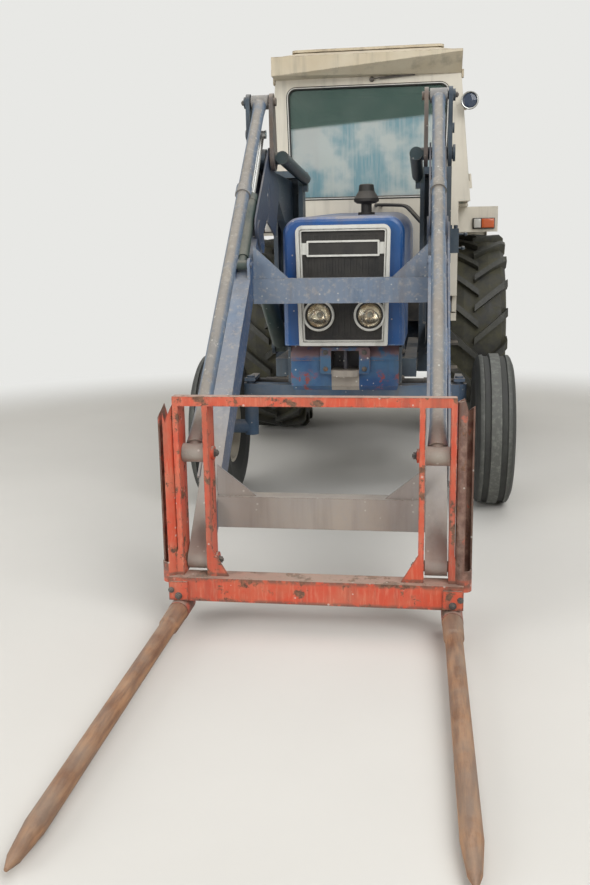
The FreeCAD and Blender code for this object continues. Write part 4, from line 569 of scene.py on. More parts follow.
def dark_frame_paint(name, chosen_place, other):
    material, tree, shader = new_material(name)
    point = object_point(tree)
    across, _, rise = parts_of(tree, point)
    paint = mixed(tree, patches(tree, point, 0.35, 0.68, 5.0, 6.0, 0.65), tone(30, 48, 64), tone(58, 74, 86))
    chosen = chosen_place(tree, raw(tree, "ABSOLUTE", across), rise)
    patchy = mixed_value(tree, patches(tree, point, 0.38, 0.58, 9.0, 6.0, 0.7), 0.6, 1.0)
    paint = mixed(tree, times(tree, chosen, patchy), paint, other)
    aged(tree, shader, paint, tone(112, 110, 104), wear=(0.005, 26.0, 0.9), rust=(0.17, 10.0), runs=0.35,
         dust=(0.5, 4.0, 0.12), splashes=0.35, gloss=0.42, dull_gloss=0.82, grain=0.2)
    return material


def on_brace(tree, aside, rise):
    return times(tree, step(tree, apart(tree, aside, BRACE_MIDDLE), BRACE_REACH + 0.002, BRACE_REACH),
                 step(tree, rise, BRACE_FROM, BRACE_FROM + 0.002))


def inside_arm(tree, aside, rise):
    return step(tree, aside, ARM_X, ARM_X - 0.006)


TOWER_BLUE = dark_frame_paint("tower_blue", on_brace, tone(22, 46, 48))
ROCKER_BROWN = dark_frame_paint("rocker_paint", inside_arm, tone(112, 98, 88))
CYLINDER_GREEN = painted(
    "cylinder_green", tone(32, 58, 56), tone(56, 76, 74), tone(92, 88, 80), fading=0.6,
    dust=(0.45, 5.0, 0.2), gloss=0.4)
print("loader paints:", LOADER_BLUE.name, CROSSBEAM_BLUE.name, LINK_GREY.name, TOWER_BLUE.name)

# %% [markdown]
# The fork carriage is the most worn piece: orange-red paint over brown rust, scratched, rusty along its lower
# beam's edges and dusty on every upper face, with split pipes at its ends that have lost most of their paint.
# The tines are bare forged steel with a brown skin. Rods shine, and small fittings are dark or zinc-grey.


# %% Red, rust and bare steel
PIPE_EDGE = 0.500
STRIP_EDGE = -0.530
BEAM_TOP = 0.20
BEAM_LOW = 0.108


def carriage_red():
    material, tree, shader = new_material("carriage_red")
    point = object_point(tree)
    across, _, rise = parts_of(tree, point)
    fading = patches(tree, point, 0.35, 0.68, 7.0, 6.0, 0.65)
    paint = mixed(tree, fading, tone(206, 70, 40), tone(198, 100, 72))
    scratches = patches(tree, stretched(tree, point, (1.0, 1.0, 0.12)), 0.50, 0.64, 90.0, 5.0, 0.7)
    paint = mixed(tree, times(tree, scratches, 0.35), paint, tone(214, 142, 114))
    beam_edge = calc(tree, "MAXIMUM", step(tree, rise, BEAM_TOP - 0.024, BEAM_TOP - 0.008),
                     step(tree, rise, BEAM_LOW + 0.016, BEAM_LOW + 0.004))
    rusty_edge = times(tree, beam_edge, step(tree, rise, BEAM_TOP + 0.012, BEAM_TOP + 0.004),
                       patches(tree, point, 0.40, 0.52, 24.0, 7.0, 0.75), 0.85)
    paint = mixed(tree, rusty_edge, paint, tone(110, 76, 62))
    left_skin = step(tree, across, STRIP_EDGE, STRIP_EDGE - 0.006)
    right_skin = step(tree, across, PIPE_EDGE, PIPE_EDGE + 0.003)
    bare = times(tree, calc(tree, "MAXIMUM", left_skin, right_skin),
                 step(tree, rise, BEAM_TOP, BEAM_TOP + 0.02),
                 patches(tree, point, 0.68, 0.60, 8.0, 6.0, 0.7))
    browner = patches(tree, point, 0.4, 0.65, 22.0, 6.0, 0.7)
    paint = mixed(tree, bare, paint, mixed(tree, browner, tone(104, 66, 54), tone(148, 116, 102)))
    up = step(tree, parts_of(tree, object_normal(tree))[2], 0.5, 0.9)
    paint = mixed(tree, times(tree, up, 0.92), paint, tone(172, 142, 128))
    aged(tree, shader, paint, tone(104, 70, 58), wear=(0.008, 44.0, 1.0), rust=(0.40, 12.0), runs=0.4,
         dust=(0.4, 6.0, 0.22), splashes=0.6, gloss=0.5, dull_gloss=0.85, grain=0.3)
    return material


def tine_steel():
    material, tree, shader = new_material("tine_steel")
    point = object_point(tree)
    along = stretched(tree, point, (1.0, 0.12, 1.0))
    streaks = patches(tree, along, 0.35, 0.68, 38.0, 5.0, 0.65)
    colour = mixed(tree, streaks, tone(120, 84, 60), tone(176, 134, 100))
    blotches = patches(tree, point, 0.45, 0.62, 7.0, 6.0)
    colour = mixed(tree, times(tree, blotches, 0.4), colour, tone(122, 104, 92))
    film = effect(tree, DUST, amount=0.3, scale=8.0, floor=0.1)["Mask"]
    coat(tree, shader, mixed(tree, film, colour, DUST_TONE), mixed_value(tree, streaks, 0.48, 0.72))
    shader.inputs["Metallic"].default_value = 0.25
    bump(tree, shader, noise(tree, along, 120.0, 4.0), 0.35)
    return material


def polished_rod():
    material, tree, shader = new_material("polished_rod")
    fine = noise(tree, object_point(tree), 160.0, 3.0)
    colour = mixed(tree, fine, tone(150, 150, 148), tone(196, 196, 192))
    coat(tree, shader, colour, mixed_value(tree, fine, 0.16, 0.34))
    shader.inputs["Metallic"].default_value = 0.95
    bump(tree, shader, fine, 0.05)
    return material


CARRIAGE_RED = carriage_red()
TINE_STEEL = tine_steel()
ROD_STEEL = polished_rod()
DARK_STEEL = painted(
    "dark_steel", tone(52, 52, 54), tone(78, 74, 70), tone(120, 112, 104), fading=0.8,
    rust=(0.3, 12.0), runs=0.4, dust=(0.5, 6.0, 0.3), splashes=0.2, gloss=0.5, grain=0.3)
ZINC = painted(
    "zinc", tone(128, 126, 120), tone(150, 148, 140), tone(104, 92, 80), fading=0.8,
    wear=(0.002, 80.0, 0.6), rust=(0.2, 30.0), runs=0.2, dust=(0.4, 12.0, 0.2), splashes=0.0, gloss=0.45)

# %% [markdown]
# The cab is cream-white sheet metal with dirt in long runs, and its roof is browner and more worn. The grille
# surround is a whiter cream, the rims a dirtier one. They need little wear: what makes them believable is a
# warm, uneven tint and the dirt that ran down.

# %% Cream paints
CREAM = painted(
    "cream", tone(222, 216, 202), tone(206, 198, 180), tone(150, 132, 110), fading=0.6,
    wear=(0.004, 26.0, 0.5), rust=(0.05, 8.0), runs=0.20, dust=(0.30, 3.0, 0.12), splashes=0.1, gloss=0.4)
ROOF_CREAM = painted(
    "roof_cream", tone(206, 196, 174), tone(188, 172, 142), tone(120, 98, 74), fading=0.8,
    wear=(0.008, 18.0, 0.8), rust=(0.12, 6.0), runs=0.3, dust=(0.6, 2.0, 0.15), splashes=0.1, gloss=0.55)
SURROUND_CREAM = painted(
    "surround_cream", tone(226, 226, 220), tone(206, 204, 194), tone(110, 100, 88),
    wear=(0.003, 50.0, 0.6), rust=(0.04, 20.0), dust=(0.25, 6.0, 0.1), splashes=0.0)
RIM_CREAM = painted(
    "rim_cream", tone(206, 200, 184), tone(182, 174, 156), tone(122, 92, 68), fading=0.8,
    wear=(0.005, 24.0, 0.8), rust=(0.16, 10.0), runs=0.3, dust=(0.5, 4.0, 0.35), splashes=0.2, gloss=0.5)
print("cream paints:", CREAM.name, ROOF_CREAM.name, SURROUND_CREAM.name, RIM_CREAM.name)


# %% [markdown]
# Rubber isn't black: the treads carry grey-brown dust, thick between the bars and thin on their worn tops.
# Distance from the wheel's own axle tells top from bottom, so each pair of tyres gets its own radii.


# %% Rubber
def rubber(name, axle, tread_depth, worn_depth, dust_tone, worn_share):
    axle_y, axle_z, radius = axle
    material, tree, shader = new_material(name)
    point = object_point(tree)
    _, along, up = parts_of(tree, point)
    back = raw(tree, "SUBTRACT", along, axle_y)
    rise = raw(tree, "SUBTRACT", up, axle_z)
    square = raw(tree, "ADD", raw(tree, "MULTIPLY", back, back), raw(tree, "MULTIPLY", rise, rise))
    top = step(tree, raw(tree, "SQRT", square), radius - tread_depth, radius - worn_depth)
    cloud = patches(tree, point, 0.3, 0.7, 9.0, 7.0, 0.65)
    deep = times(tree, calc(tree, "SUBTRACT", 1.0, top), 0.55)
    film = times(tree, calc(tree, "ADD", deep, 0.25), cloud)
    colour = mixed(tree, film, tone(34, 34, 33), dust_tone)
    scuffs = mixed_value(tree, patches(tree, point, 0.46, 0.62, 40.0, 6.0, 0.7), 0.55, 1.0)
    colour = mixed(tree, times(tree, top, scuffs, worn_share), colour, tone(116, 118, 112))
    coat(tree, shader, colour, mixed_value(tree, film, 0.55, 0.9))
    bump(tree, shader, noise(tree, point, 60.0, 6.0, 0.6), 0.3)
    return material


def axle_of(node):
    low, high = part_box(node)
    return (low.y + high.y) / 2, (low.z + high.z) / 2, (high.z - low.z) / 2


rear_axle = axle_of("rear_tyre_left")
front_axle = axle_of("front_tyre_left")
REAR_RUBBER = rubber("rear_rubber", rear_axle, 0.038, 0.006, tone(86, 84, 64), 0.22)
FRONT_RUBBER = rubber("front_rubber", front_axle, 0.012, 0.003, tone(70, 72, 68), 0.8)
print("axles at", round(rear_axle[0], 3), round(front_axle[0], 3))


# %% [markdown]
# The cab glass is thin and faintly green, with a film of dust. In the picture the windscreen mirrors the sky,
# so a dark upper band and pale streaks below it are painted into the glass that lies in front of
# SCREEN_BEHIND, and the other panes keep the plain tint. Transmission stays a plain number.


# %% Glass, plastic and black parts
SCREEN_BEHIND = 1.32
SKY_TOP = 2.17
SKY_SLOPE = -0.07
GLASS_IOR = 1.45


def clear(tree, shader, colour, roughness, clearness):
    coat(tree, shader, colour, roughness)
    shader.inputs["Transmission Weight"].default_value = clearness
    shader.inputs["IOR"].default_value = GLASS_IOR


def thin_film(tree, point, share):
    return times(tree, patches(tree, point, 0.35, 0.75, 3.0, 6.0, 0.6), share)


def glass(name, tint, film_share, clearness=1.0):
    material, tree, shader = new_material(name)
    film = thin_film(tree, object_point(tree), film_share)
    colour = mixed(tree, film, tint, tone(196, 200, 190))
    clear(tree, shader, colour, mixed_value(tree, film, 0.01, 0.22), clearness)
    return material


def cab_pane():
    material, tree, shader = new_material("cab_glass")
    point = object_point(tree)
    across, along, rise = parts_of(tree, point)
    front = step(tree, along, SCREEN_BEHIND + 0.02, SCREEN_BEHIND)
    tilt = raw(tree, "ADD", rise, raw(tree, "MULTIPLY", across, SKY_SLOPE))
    below = times(tree, step(tree, tilt, SKY_TOP + 0.012, SKY_TOP - 0.012), front)
    clouds = patches(tree, point, 0.38, 0.62, 5.0, 4.0, 0.5)
    streaks = patches(tree, stretched(tree, point, (1.0, 1.0, 0.06)), 0.42, 0.7, 46.0, 4.0, 0.65)
    bright = mixed(tree, clouds, tone(164, 204, 216), tone(238, 244, 242))
    bright = mixed(tree, times(tree, streaks, 0.55), bright, tone(240, 244, 240))
    tint = mixed(tree, front, tone(164, 186, 178), tone(88, 122, 112))
    plain = mixed(tree, thin_film(tree, point, 0.3), tint, tone(160, 172, 164))
    clear(tree, shader, mixed(tree, below, plain, bright), mixed_value(tree, streaks, 0.02, 0.12), 0.6)
    return material


def moulded(name, colour, dusty, roughness, grain_scale, share):
    material, tree, shader = new_material(name)
    film = effect(tree, DUST, amount=share, scale=6.0, floor=0.2)["Mask"]
    worn = effect(tree, EDGE_WEAR, width=0.003, scale=60.0, amount=0.4)["Mask"]
    tinted = mixed(tree, worn, colour, dusty)
    coat(tree, shader, mixed(tree, film, tinted, DUST_TONE), mixed_value(tree, film, roughness, 0.85))
    bump(tree, shader, noise(tree, object_point(tree), grain_scale, 3.0), 0.2)
    return material


CAB_GLASS = cab_pane()
LAMP_GLASS = glass("lamp_glass", tone(246, 244, 236), 0.25)
CLEAR_LENS = glass("clear_lens", tone(232, 228, 222), 0.35, 0.3)
AMBER_LENS = glass("amber_lens", tone(240, 104, 28), 0.15, 0.3)
WORK_LENS = glass("work_lens", tone(60, 76, 104), 0.25, 0.4)
BLACK_MESH = moulded("black_mesh", tone(30, 30, 30), tone(60, 60, 60), 0.7, 300.0, 0.35)
CLEANER_BLACK = moulded("cleaner_black", tone(32, 30, 28), tone(62, 58, 54), 0.55, 300.0, 0.2)
BLACK_PLASTIC = moulded("black_plastic", tone(38, 38, 38), tone(72, 70, 66), 0.5, 500.0, 0.35)
SEAL_RUBBER = moulded("seal_rubber", tone(26, 26, 27), tone(60, 58, 55), 0.5, 400.0, 0.3)
HOSE_RUBBER = moulded("hose_rubber", tone(30, 30, 31), tone(78, 74, 68), 0.45, 260.0, 0.45)
FLOOR_MAT = moulded("floor_mat", tone(40, 40, 40), tone(74, 72, 68), 0.7, 160.0, 0.8)
print("materials so far:", len(bpy.data.materials))

# %% [markdown]
# Each node of the frame gets its finish from a short table, by the first entry that its name starts with.
# The lamps and the seat are replaced by their own pieces further on, so their entries only matter until then.

# %% Dress the frame
FINISHES = {
    "hood": HOOD_BLUE,
    "front_support": CASTING_BLUE,
    "front_axle": AXLE_BLUE,
    "knuckle_": AXLE_BLUE,
    "engine": ENGINE_BLUE,
    "transmission": ENGINE_BLUE,
    "rear_hitch": DARK_STEEL,
    "tie_rod": DARK_STEEL,
    "booms": LOADER_BLUE,
    "crossbeams": CROSSBEAM_BLUE,
    "rockers": ROCKER_BROWN,
    "links": LINK_GREY,
    "towers": TOWER_BLUE,
    "hoses": HOSE_RUBBER,
    "lift_barrels": CYLINDER_GREEN,
    "tilt_barrels": CYLINDER_GREEN,
    "lift_rods": ROD_STEEL,
    "tilt_rods": ROD_STEEL,
    "carriage": CARRIAGE_RED,
    "tines": TINE_STEEL,
    "grille_surround": SURROUND_CREAM,
    "grille_mesh": BLACK_MESH,
    "air_precleaner": CLEANER_BLACK,
    "cab_roof": ROOF_CREAM,
    "cab_glass": CAB_GLASS,
    "cab_floor": FLOOR_MAT,
    "cab_": CREAM,
    "fenders": CREAM,
    "door_glass_": CAB_GLASS,
    "door_": CREAM,
    "seat": BLACK_PLASTIC,
    "steering_column": BLACK_PLASTIC,
    "lamps": LAMP_GLASS,
    "front_rim_": RIM_CREAM,
    "rear_rim_": RIM_CREAM,
    "front_tyre_": FRONT_RUBBER,
    "rear_tyre_": REAR_RUBBER,
}
for name, node in nodes.items():
    finish = next(value for key, value in FINISHES.items() if name.startswith(key))
    node.data.materials.clear()
    node.data.materials.append(finish)
print("dressed", len(nodes), "nodes")

# %% [markdown]
# The picture needs a plain pale floor that curves up into a backdrop. It is one plane whose back edge is
# extruded up in steps, so that no line shows where floor meets wall. Far from the tractor, floor and wall
# glow at a strength of 1, but only for the camera's, glossy and transmitted rays, so they add no light.

# %% Floor and backdrop
FLOOR_HALF = 16.0
BACK_Y = 9.0
BEND_RADIUS = 3.0
BEND_STEPS = 10
WALL_TOP = 14.0
NEAR_FLOOR = 3.8
FAR_FLOOR = 6.2
PALE_TONE = tone(232, 232, 229)
bpy.ops.mesh.primitive_plane_add(size=2.0)
floor = bpy.context.object
floor.name = "floor"
floor.scale = (FLOOR_HALF, (BACK_Y + FLOOR_HALF) / 2, 1.0)
floor.location = (0.0, (BACK_Y - FLOOR_HALF) / 2, 0.0)
settle(floor)
start_edit(floor, "EDGE")
shell = bmesh.from_edit_mesh(floor.data)
for edge in shell.edges:
    edge.select_set(all(abs(v.co.y - BACK_Y) < 0.01 for v in edge.verts))
bmesh.update_edit_mesh(floor.data)
for index in range(BEND_STEPS):
    before = math.radians(90 * index / BEND_STEPS)
    after = math.radians(90 * (index + 1) / BEND_STEPS)
    move = (0.0, BEND_RADIUS * (math.sin(after) - math.sin(before)),
            BEND_RADIUS * (math.cos(before) - math.cos(after)))
    bpy.ops.mesh.extrude_region_move(TRANSFORM_OT_translate={"value": move})
bpy.ops.mesh.extrude_region_move(TRANSFORM_OT_translate={"value": (0.0, 0.0, WALL_TOP - BEND_RADIUS)})
end_edit()
smooth(floor, 60)


def seen_directly(tree):
    rays = add(tree, "LightPath").outputs
    return calc(tree, "MAXIMUM", rays["Is Camera Ray"], rays["Is Glossy Ray"], rays["Is Transmission Ray"])


def pale_floor():
    material, tree, shader = new_material("pale_floor")
    point = object_point(tree)
    colour = mixed(tree, noise(tree, point, 1.2, 5.0), tone(214, 212, 207), tone(222, 220, 215))
    coat(tree, shader, colour, 0.9)
    reach = add(tree, "VectorMath", operation="LENGTH")
    feed(tree, reach.inputs[0], point)
    far_away = step(tree, reach.outputs["Value"], NEAR_FLOOR, FAR_FLOOR)
    pale = add(tree, "Emission")
    pale.inputs["Color"].default_value = PALE_TONE
    blend = add(tree, "MixShader")
    feed(tree, blend.inputs[0], times(tree, far_away, seen_directly(tree)))
    feed(tree, blend.inputs[1], shader.outputs[0])
    feed(tree, blend.inputs[2], pale.outputs[0])
    feed(tree, tree.nodes["Material Output"].inputs["Surface"], blend.outputs[0])
    return material


floor.data.materials.append(pale_floor())
print("floor:", len(floor.data.polygons), "faces")

# %% [markdown]
# The light is a high soft key from the front, a low fill from the other side, a broad panel overhead and an
# even grey world. The levels are set so that a mid-grey surface renders about as it is written.

# %% Lamps and world
LAMPS = (
    ("key", (4.5, -6.5, 6.5), 6.0, 560.0),
    ("fill", (-5.5, -6.0, 2.8), 5.0, 280.0),
    ("overhead", (0.0, 1.0, 8.5), 8.0, 330.0),
)
AIM = Vector((0.0, 0.3, 1.0))
for label, place, size, power in LAMPS:
    light = bpy.data.lights.new(label, "AREA")
    light.shape = "SQUARE"
    light.size = size
    light.energy = power
    lamp = bpy.data.objects.new(label, light)
    lamp.location = place
    lamp.rotation_euler = (AIM - Vector(place)).to_track_quat("-Z", "Y").to_euler()
    scene.collection.objects.link(lamp)

world = bpy.data.worlds.new("studio")
world.use_nodes = True
scene.world = world
sky = world.node_tree
background = sky.nodes["Background"]
seen = seen_directly(sky)
feed(sky, background.inputs["Color"], mixed(sky, seen, tone(180, 181, 183), PALE_TONE))
feed(sky, background.inputs["Strength"], mixed_value(sky, seen, 0.85, 0.95))
scene.view_settings.view_transform = "Standard"
print("lamps:", [label for label, place, size, power in LAMPS])

# %% [markdown]
# The seat is the one soft piece. Real tractor seats are vinyl over foam: a crowned cushion whose sides pull
# in between its corners. Each pad starts as a bevelled block a little smaller than its place, is remeshed,
# blown up by cloth pressure and capped. Then shallow channels are pressed in where the cover is sewn down.


# %% Seat pads
def vinyl():
    material, tree, shader = new_material("seat_vinyl")
    point = object_point(tree)
    cells = add(tree, "TexVoronoi", feature="DISTANCE_TO_EDGE")
    feed(tree, cells.inputs["Vector"], point)
    cells.inputs["Scale"].default_value = 320.0
    crackle = step(tree, cells.outputs["Distance"], 0.0, 0.12)
    film = effect(tree, DUST, amount=0.45, scale=7.0, floor=0.15)["Mask"]
    colour = mixed(tree, noise(tree, point, 8.0, 5.0), tone(30, 30, 31), tone(50, 48, 46))
    coat(tree, shader, mixed(tree, film, colour, DUST_TONE), mixed_value(tree, film, 0.42, 0.8))
    shader.inputs["Sheen Weight"].default_value = 0.1
    bump(tree, shader, crackle, 0.25, 0.0006)
    return material


SEAT_VINYL = vinyl()
PAD_SHRINK = 0.012
PAD_ROUND = 0.035
PAD_VOXEL = 0.006
PAD_CAP = 0.014
CLOTH_FRAMES = 20
CHANNELS = 4
CHANNEL_REACH = 0.16
CHANNEL_DEPTH = 0.008


def pad_block(low, high, lean):
    block = block_between(low, high)
    size = high - low
    if lean:
        for vertex in block.data.vertices:
            share = (vertex.co.z - low.z) / size.z
            vertex.co.y += lean * (share - 0.5)
    return bevelled(block, PAD_ROUND, 4)


def blow_up(pad):
    remesh = pad.modifiers.new("remesh", "REMESH")
    remesh.mode = "VOXEL"
    remesh.voxel_size = PAD_VOXEL
    apply_all(pad)
    start = [v.co.copy() for v in pad.data.vertices]
    cloth = pad.modifiers.new("cloth", "CLOTH")
    cloth.settings.use_pressure = True
    cloth.settings.uniform_pressure_force = 4.0
    cloth.settings.effector_weights.gravity = 0.0
    cloth.settings.quality = 5
    for number in range(1, CLOTH_FRAMES + 1):
        scene.frame_set(number)
    bpy.context.view_layer.update()
    apply_all(pad)
    for vertex, home in zip(pad.data.vertices, start):
        drift = vertex.co - home
        if drift.length > PAD_CAP:
            vertex.co = home + drift.normalized() * PAD_CAP
    scene.frame_set(1)
    return pad


def sew_channels(pad, low, high):
    for vertex in pad.data.vertices:
        share = (vertex.co.x - low.x) / (high.x - low.x) * CHANNELS
        near = abs(share - round(share))
        inside = 0.5 < share < CHANNELS - 0.5
        if inside and near < CHANNEL_REACH:
            fall = 0.5 + 0.5 * math.cos(math.pi * near / CHANNEL_REACH)
            vertex.co -= vertex.normal * CHANNEL_DEPTH * fall


def make_pad(name, low, high, lean):
    margin = Vector((PAD_SHRINK, PAD_SHRINK, PAD_SHRINK))
    pad = blow_up(pad_block(low + margin, high - margin, lean))
    sew_channels(pad, low, high)
    smooth(pad, 60)
    hand_over(pad, name, "chassis", SEAT_VINYL)
    return pad


seat_low, seat_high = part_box("seat")
CUSHION_TOP = seat_low.z + 0.14
CUSHION_BACK = seat_high.y - 0.14
BACKREST_BEHIND = 0.095
BACKREST_INSET = 0.005
BACKREST_GAP = 0.004
BACKREST_LEAN = 0.10
cushion = make_pad("seat_cushion", seat_low, Vector((seat_high.x, CUSHION_BACK, CUSHION_TOP)), 0.0)
back_low = Vector((seat_low.x + BACKREST_INSET, CUSHION_BACK - BACKREST_INSET, CUSHION_TOP + BACKREST_GAP))
back_high = Vector((seat_high.x - BACKREST_INSET, CUSHION_BACK + BACKREST_BEHIND, seat_high.z))
backrest = make_pad("seat_backrest", back_low, back_high, BACKREST_LEAN)
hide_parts("seat")
print("seat pads:", len(cushion.data.vertices), len(backrest.data.vertices))

# %% [markdown]
# Many small parts on the machine are round: a reflector, a lens, a lamp shell, a nut's washer. On a lathe
# such a part is one outline turned about its axis. Here a single point is extruded along the outline, whose
# points are a place along the axis and a radius, and the line is spun round.


# %% Turning, blocks, rods and bolts
BACKWARDS = (0, 1, 0)
UPWARDS = (0, 0, 1)


def turned(outline, centre, steps, axis=BACKWARDS):
    bpy.ops.object.select_all(action="DESELECT")
    bpy.ops.mesh.primitive_plane_add(size=0.01, location=centre)
    piece = bpy.context.object
    settle(piece)
    start_edit(piece, "VERT")
    bpy.ops.mesh.select_all(action="SELECT")
    bpy.ops.mesh.merge(type="CENTER")
    axis = Vector(axis).normalized()
    side = axis.orthogonal().normalized()
    here = Vector((0.0, 0.0, 0.0))
    for index, (along, radius) in enumerate(outline):
        there = axis * along + side * radius
        if index == 0:
            bpy.ops.transform.translate(value=there - here)
        else:
            bpy.ops.mesh.extrude_vertices_move(TRANSFORM_OT_translate={"value": there - here})
        here = there
    bpy.ops.mesh.select_all(action="SELECT")
    bpy.ops.mesh.spin(steps=steps, angle=math.tau, center=centre, axis=axis)
    bpy.ops.mesh.select_all(action="SELECT")
    bpy.ops.mesh.remove_doubles(threshold=0.00005)
    bpy.ops.mesh.normals_make_consistent(inside=False)
    end_edit()
    return piece


def rounded_block(low, high, width):
    return bevelled(block_between(low, high), width, 3)


def bent_rod(points, thickness):
    data = bpy.data.curves.new("rod", "CURVE")
    data.dimensions = "3D"
    data.bevel_depth = thickness
    data.bevel_resolution = 3
    data.use_fill_caps = True
    spline = data.splines.new("NURBS")
    spline.points.add(len(points) - 1)
    for place, point in zip(spline.points, points):
        place.co = (*point, 1.0)
    spline.order_u = 3
    spline.use_endpoint_u = True
    rod = bpy.data.objects.new("rod", data)
    scene.collection.objects.link(rod)
    pick(rod)
    bpy.ops.object.convert(target="MESH")
    return bpy.context.object


WASHER = [(0.0, 0.0), (0.0, 1.25), (0.16, 1.25), (0.20, 1.15), (0.20, 0.0)]
STUD = [(0.9, 0.0), (0.9, 0.52), (1.18, 0.52), (1.26, 0.44), (1.26, 0.0)]


def bolt_model():
    # a washer, a hexagon head and the end of the thread, for a bolt whose head is 2 units across
    washer = turned(WASHER, (0, 0, 0), 20, UPWARDS)
    bpy.ops.object.select_all(action="DESELECT")
    bpy.ops.mesh.primitive_cylinder_add(vertices=6, radius=1.0, depth=0.75, location=(0, 0, 0.575))
    head = bevelled(bpy.context.object, 0.07, 2)
    stud = turned(STUD, (0, 0, 0), 14, UPWARDS)
    return joined([washer, head, stud], "bolt_model")


BOLT = bolt_model()


def bolts(name, places, body, material):
    copies = []
    for point, direction, size in places:
        copy = bpy.data.objects.new("bolt", BOLT.data.copy())
        scene.collection.objects.link(copy)
        facing = Vector(direction).to_track_quat("Z", "Y").to_matrix().to_4x4()
        copy.matrix_world = Matrix.Translation(point) @ facing @ Matrix.Scale(size, 4)
        copies.append(copy)
    return finished(copies, name, 30, body, material)


print("bolt model:", len(BOLT.data.polygons), "faces")

# %% [markdown]
# The headlamps are sealed units: a bright bowl, a bulb in its middle and a domed glass with upright flutes.
# The frame holds them as plain discs, so these three pieces take their place inside the same round openings.

# %% Headlamps
LAMP_OFFSET = 0.121
LAMP_SHIFT = 0.004
LAMP_Z = 1.058
LAMP_RADIUS = 0.0555
LAMP_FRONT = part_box("grille_surround")[0].y - 0.0002
FLUTE_PITCH = 0.0065
FLUTE_DEPTH = 0.0006
FLUTED_SHARE = 0.9
DOME = [(0.0, 0.0), (0.0008, 0.016), (0.003, 0.032), (0.008, 0.047), (0.013, LAMP_RADIUS),
        (0.015, LAMP_RADIUS), (0.011, 0.047), (0.006, 0.032), (0.0038, 0.016), (0.003, 0.0)]
BOWL = [(0.0145, LAMP_RADIUS), (0.020, 0.050), (0.030, 0.036), (0.036, 0.018), (0.0372, 0.0),
        (0.0385, 0.0), (0.0385, LAMP_RADIUS)]
BULB = [(0.014, 0.0), (0.0155, 0.006), (0.019, 0.009), (0.026, 0.0085), (0.028, 0.012), (0.036, 0.012),
        (0.037, 0.0)]


def chrome():
    material, tree, shader = new_material("lamp_reflector")
    film = patches(tree, object_point(tree), 0.42, 0.7, 26.0, 5.0)
    colour = mixed(tree, film, tone(226, 218, 204), tone(176, 150, 122))
    coat(tree, shader, colour, mixed_value(tree, film, 0.12, 0.4))
    shader.inputs["Metallic"].default_value = 0.9
    return material


def fluted_glass(middle):
    dome = turned(DOME, middle, 64)
    for vertex in dome.data.vertices:
        wave = math.sin(math.tau * (vertex.co.x - middle.x) / FLUTE_PITCH)
        if (vertex.co - middle).xz.length < FLUTED_SHARE * LAMP_RADIUS:
            vertex.co.y += FLUTE_DEPTH * wave
    return dome


REFLECTOR = chrome()
middles = [Vector((side * LAMP_OFFSET + LAMP_SHIFT, LAMP_FRONT, LAMP_Z)) for side in (-1, 1)]
lens = finished([fluted_glass(middle) for middle in middles], "headlamp_glass", 60, "chassis", LAMP_GLASS)
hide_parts("lamps")
finished([turned(BOWL, middle, 56) for middle in middles], "headlamp_bowls", 50, "chassis", REFLECTOR)
finished([turned(BULB, middle, 24) for middle in middles], "headlamp_bulbs", 40, "chassis", CLEAR_LENS)
print("headlamps at", LAMP_OFFSET, LAMP_Z)

# %% [markdown]
# Each fender carries a flat lamp with a clear half and an orange half in a black frame. The round work lamp
# beside the windscreen is a pressed shell with a light rim and a dark lens, on a bracket that the cab holds.

# %% Fender lamps and work lamp
FENDER_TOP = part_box("fenders")[1].z
FENDER_FACE = 1.74658
FENDER_LAMP_IN = 0.700
FENDER_LAMP_SPLIT = 0.757
FENDER_LAMP_OUT = 0.850
FENDER_LAMP_LOW = FENDER_TOP - 0.150
FENDER_LAMP_HIGH = FENDER_TOP - 0.077
FRAME_RIM = 0.006
FRAME_DEPTH = 0.018
LENS_GAP = 0.002
LENS_DEPTH = 0.040
LENS_BACK = 0.017
FENDER_LAMPS = (
    ("fender_lamp_frames", BLACK_PLASTIC, "black_plastic",
     (FENDER_LAMP_IN, FENDER_LAMP_OUT, 0.0, FRAME_DEPTH, 0.0003, 0.004)),
    ("fender_lamp_clear", CLEAR_LENS, "lamp_glass",
     (FENDER_LAMP_IN + FRAME_RIM, FENDER_LAMP_SPLIT - LENS_GAP, FRAME_RIM, LENS_DEPTH, LENS_BACK, 0.006)),
    ("fender_lamp_amber", AMBER_LENS, "lamp_glass",
     (FENDER_LAMP_SPLIT + LENS_GAP, FENDER_LAMP_OUT - FRAME_RIM, FRAME_RIM, LENS_DEPTH, LENS_BACK, 0.006)),
)


def lamp_block(side, inner, outer, rim, depth, back, width):
    low = (min(side * inner, side * outer), FENDER_FACE - depth, FENDER_LAMP_LOW + rim)
    high = (max(side * inner, side * outer), FENDER_FACE - back, FENDER_LAMP_HIGH - rim)
    return rounded_block(low, high, width)


for name, material, slot_name, form in FENDER_LAMPS:
    blocks = [lamp_block(side, *form) for side in (-1, 1)]
    whole = finished(blocks, name, 40, "chassis", material)
    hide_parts("lamps")

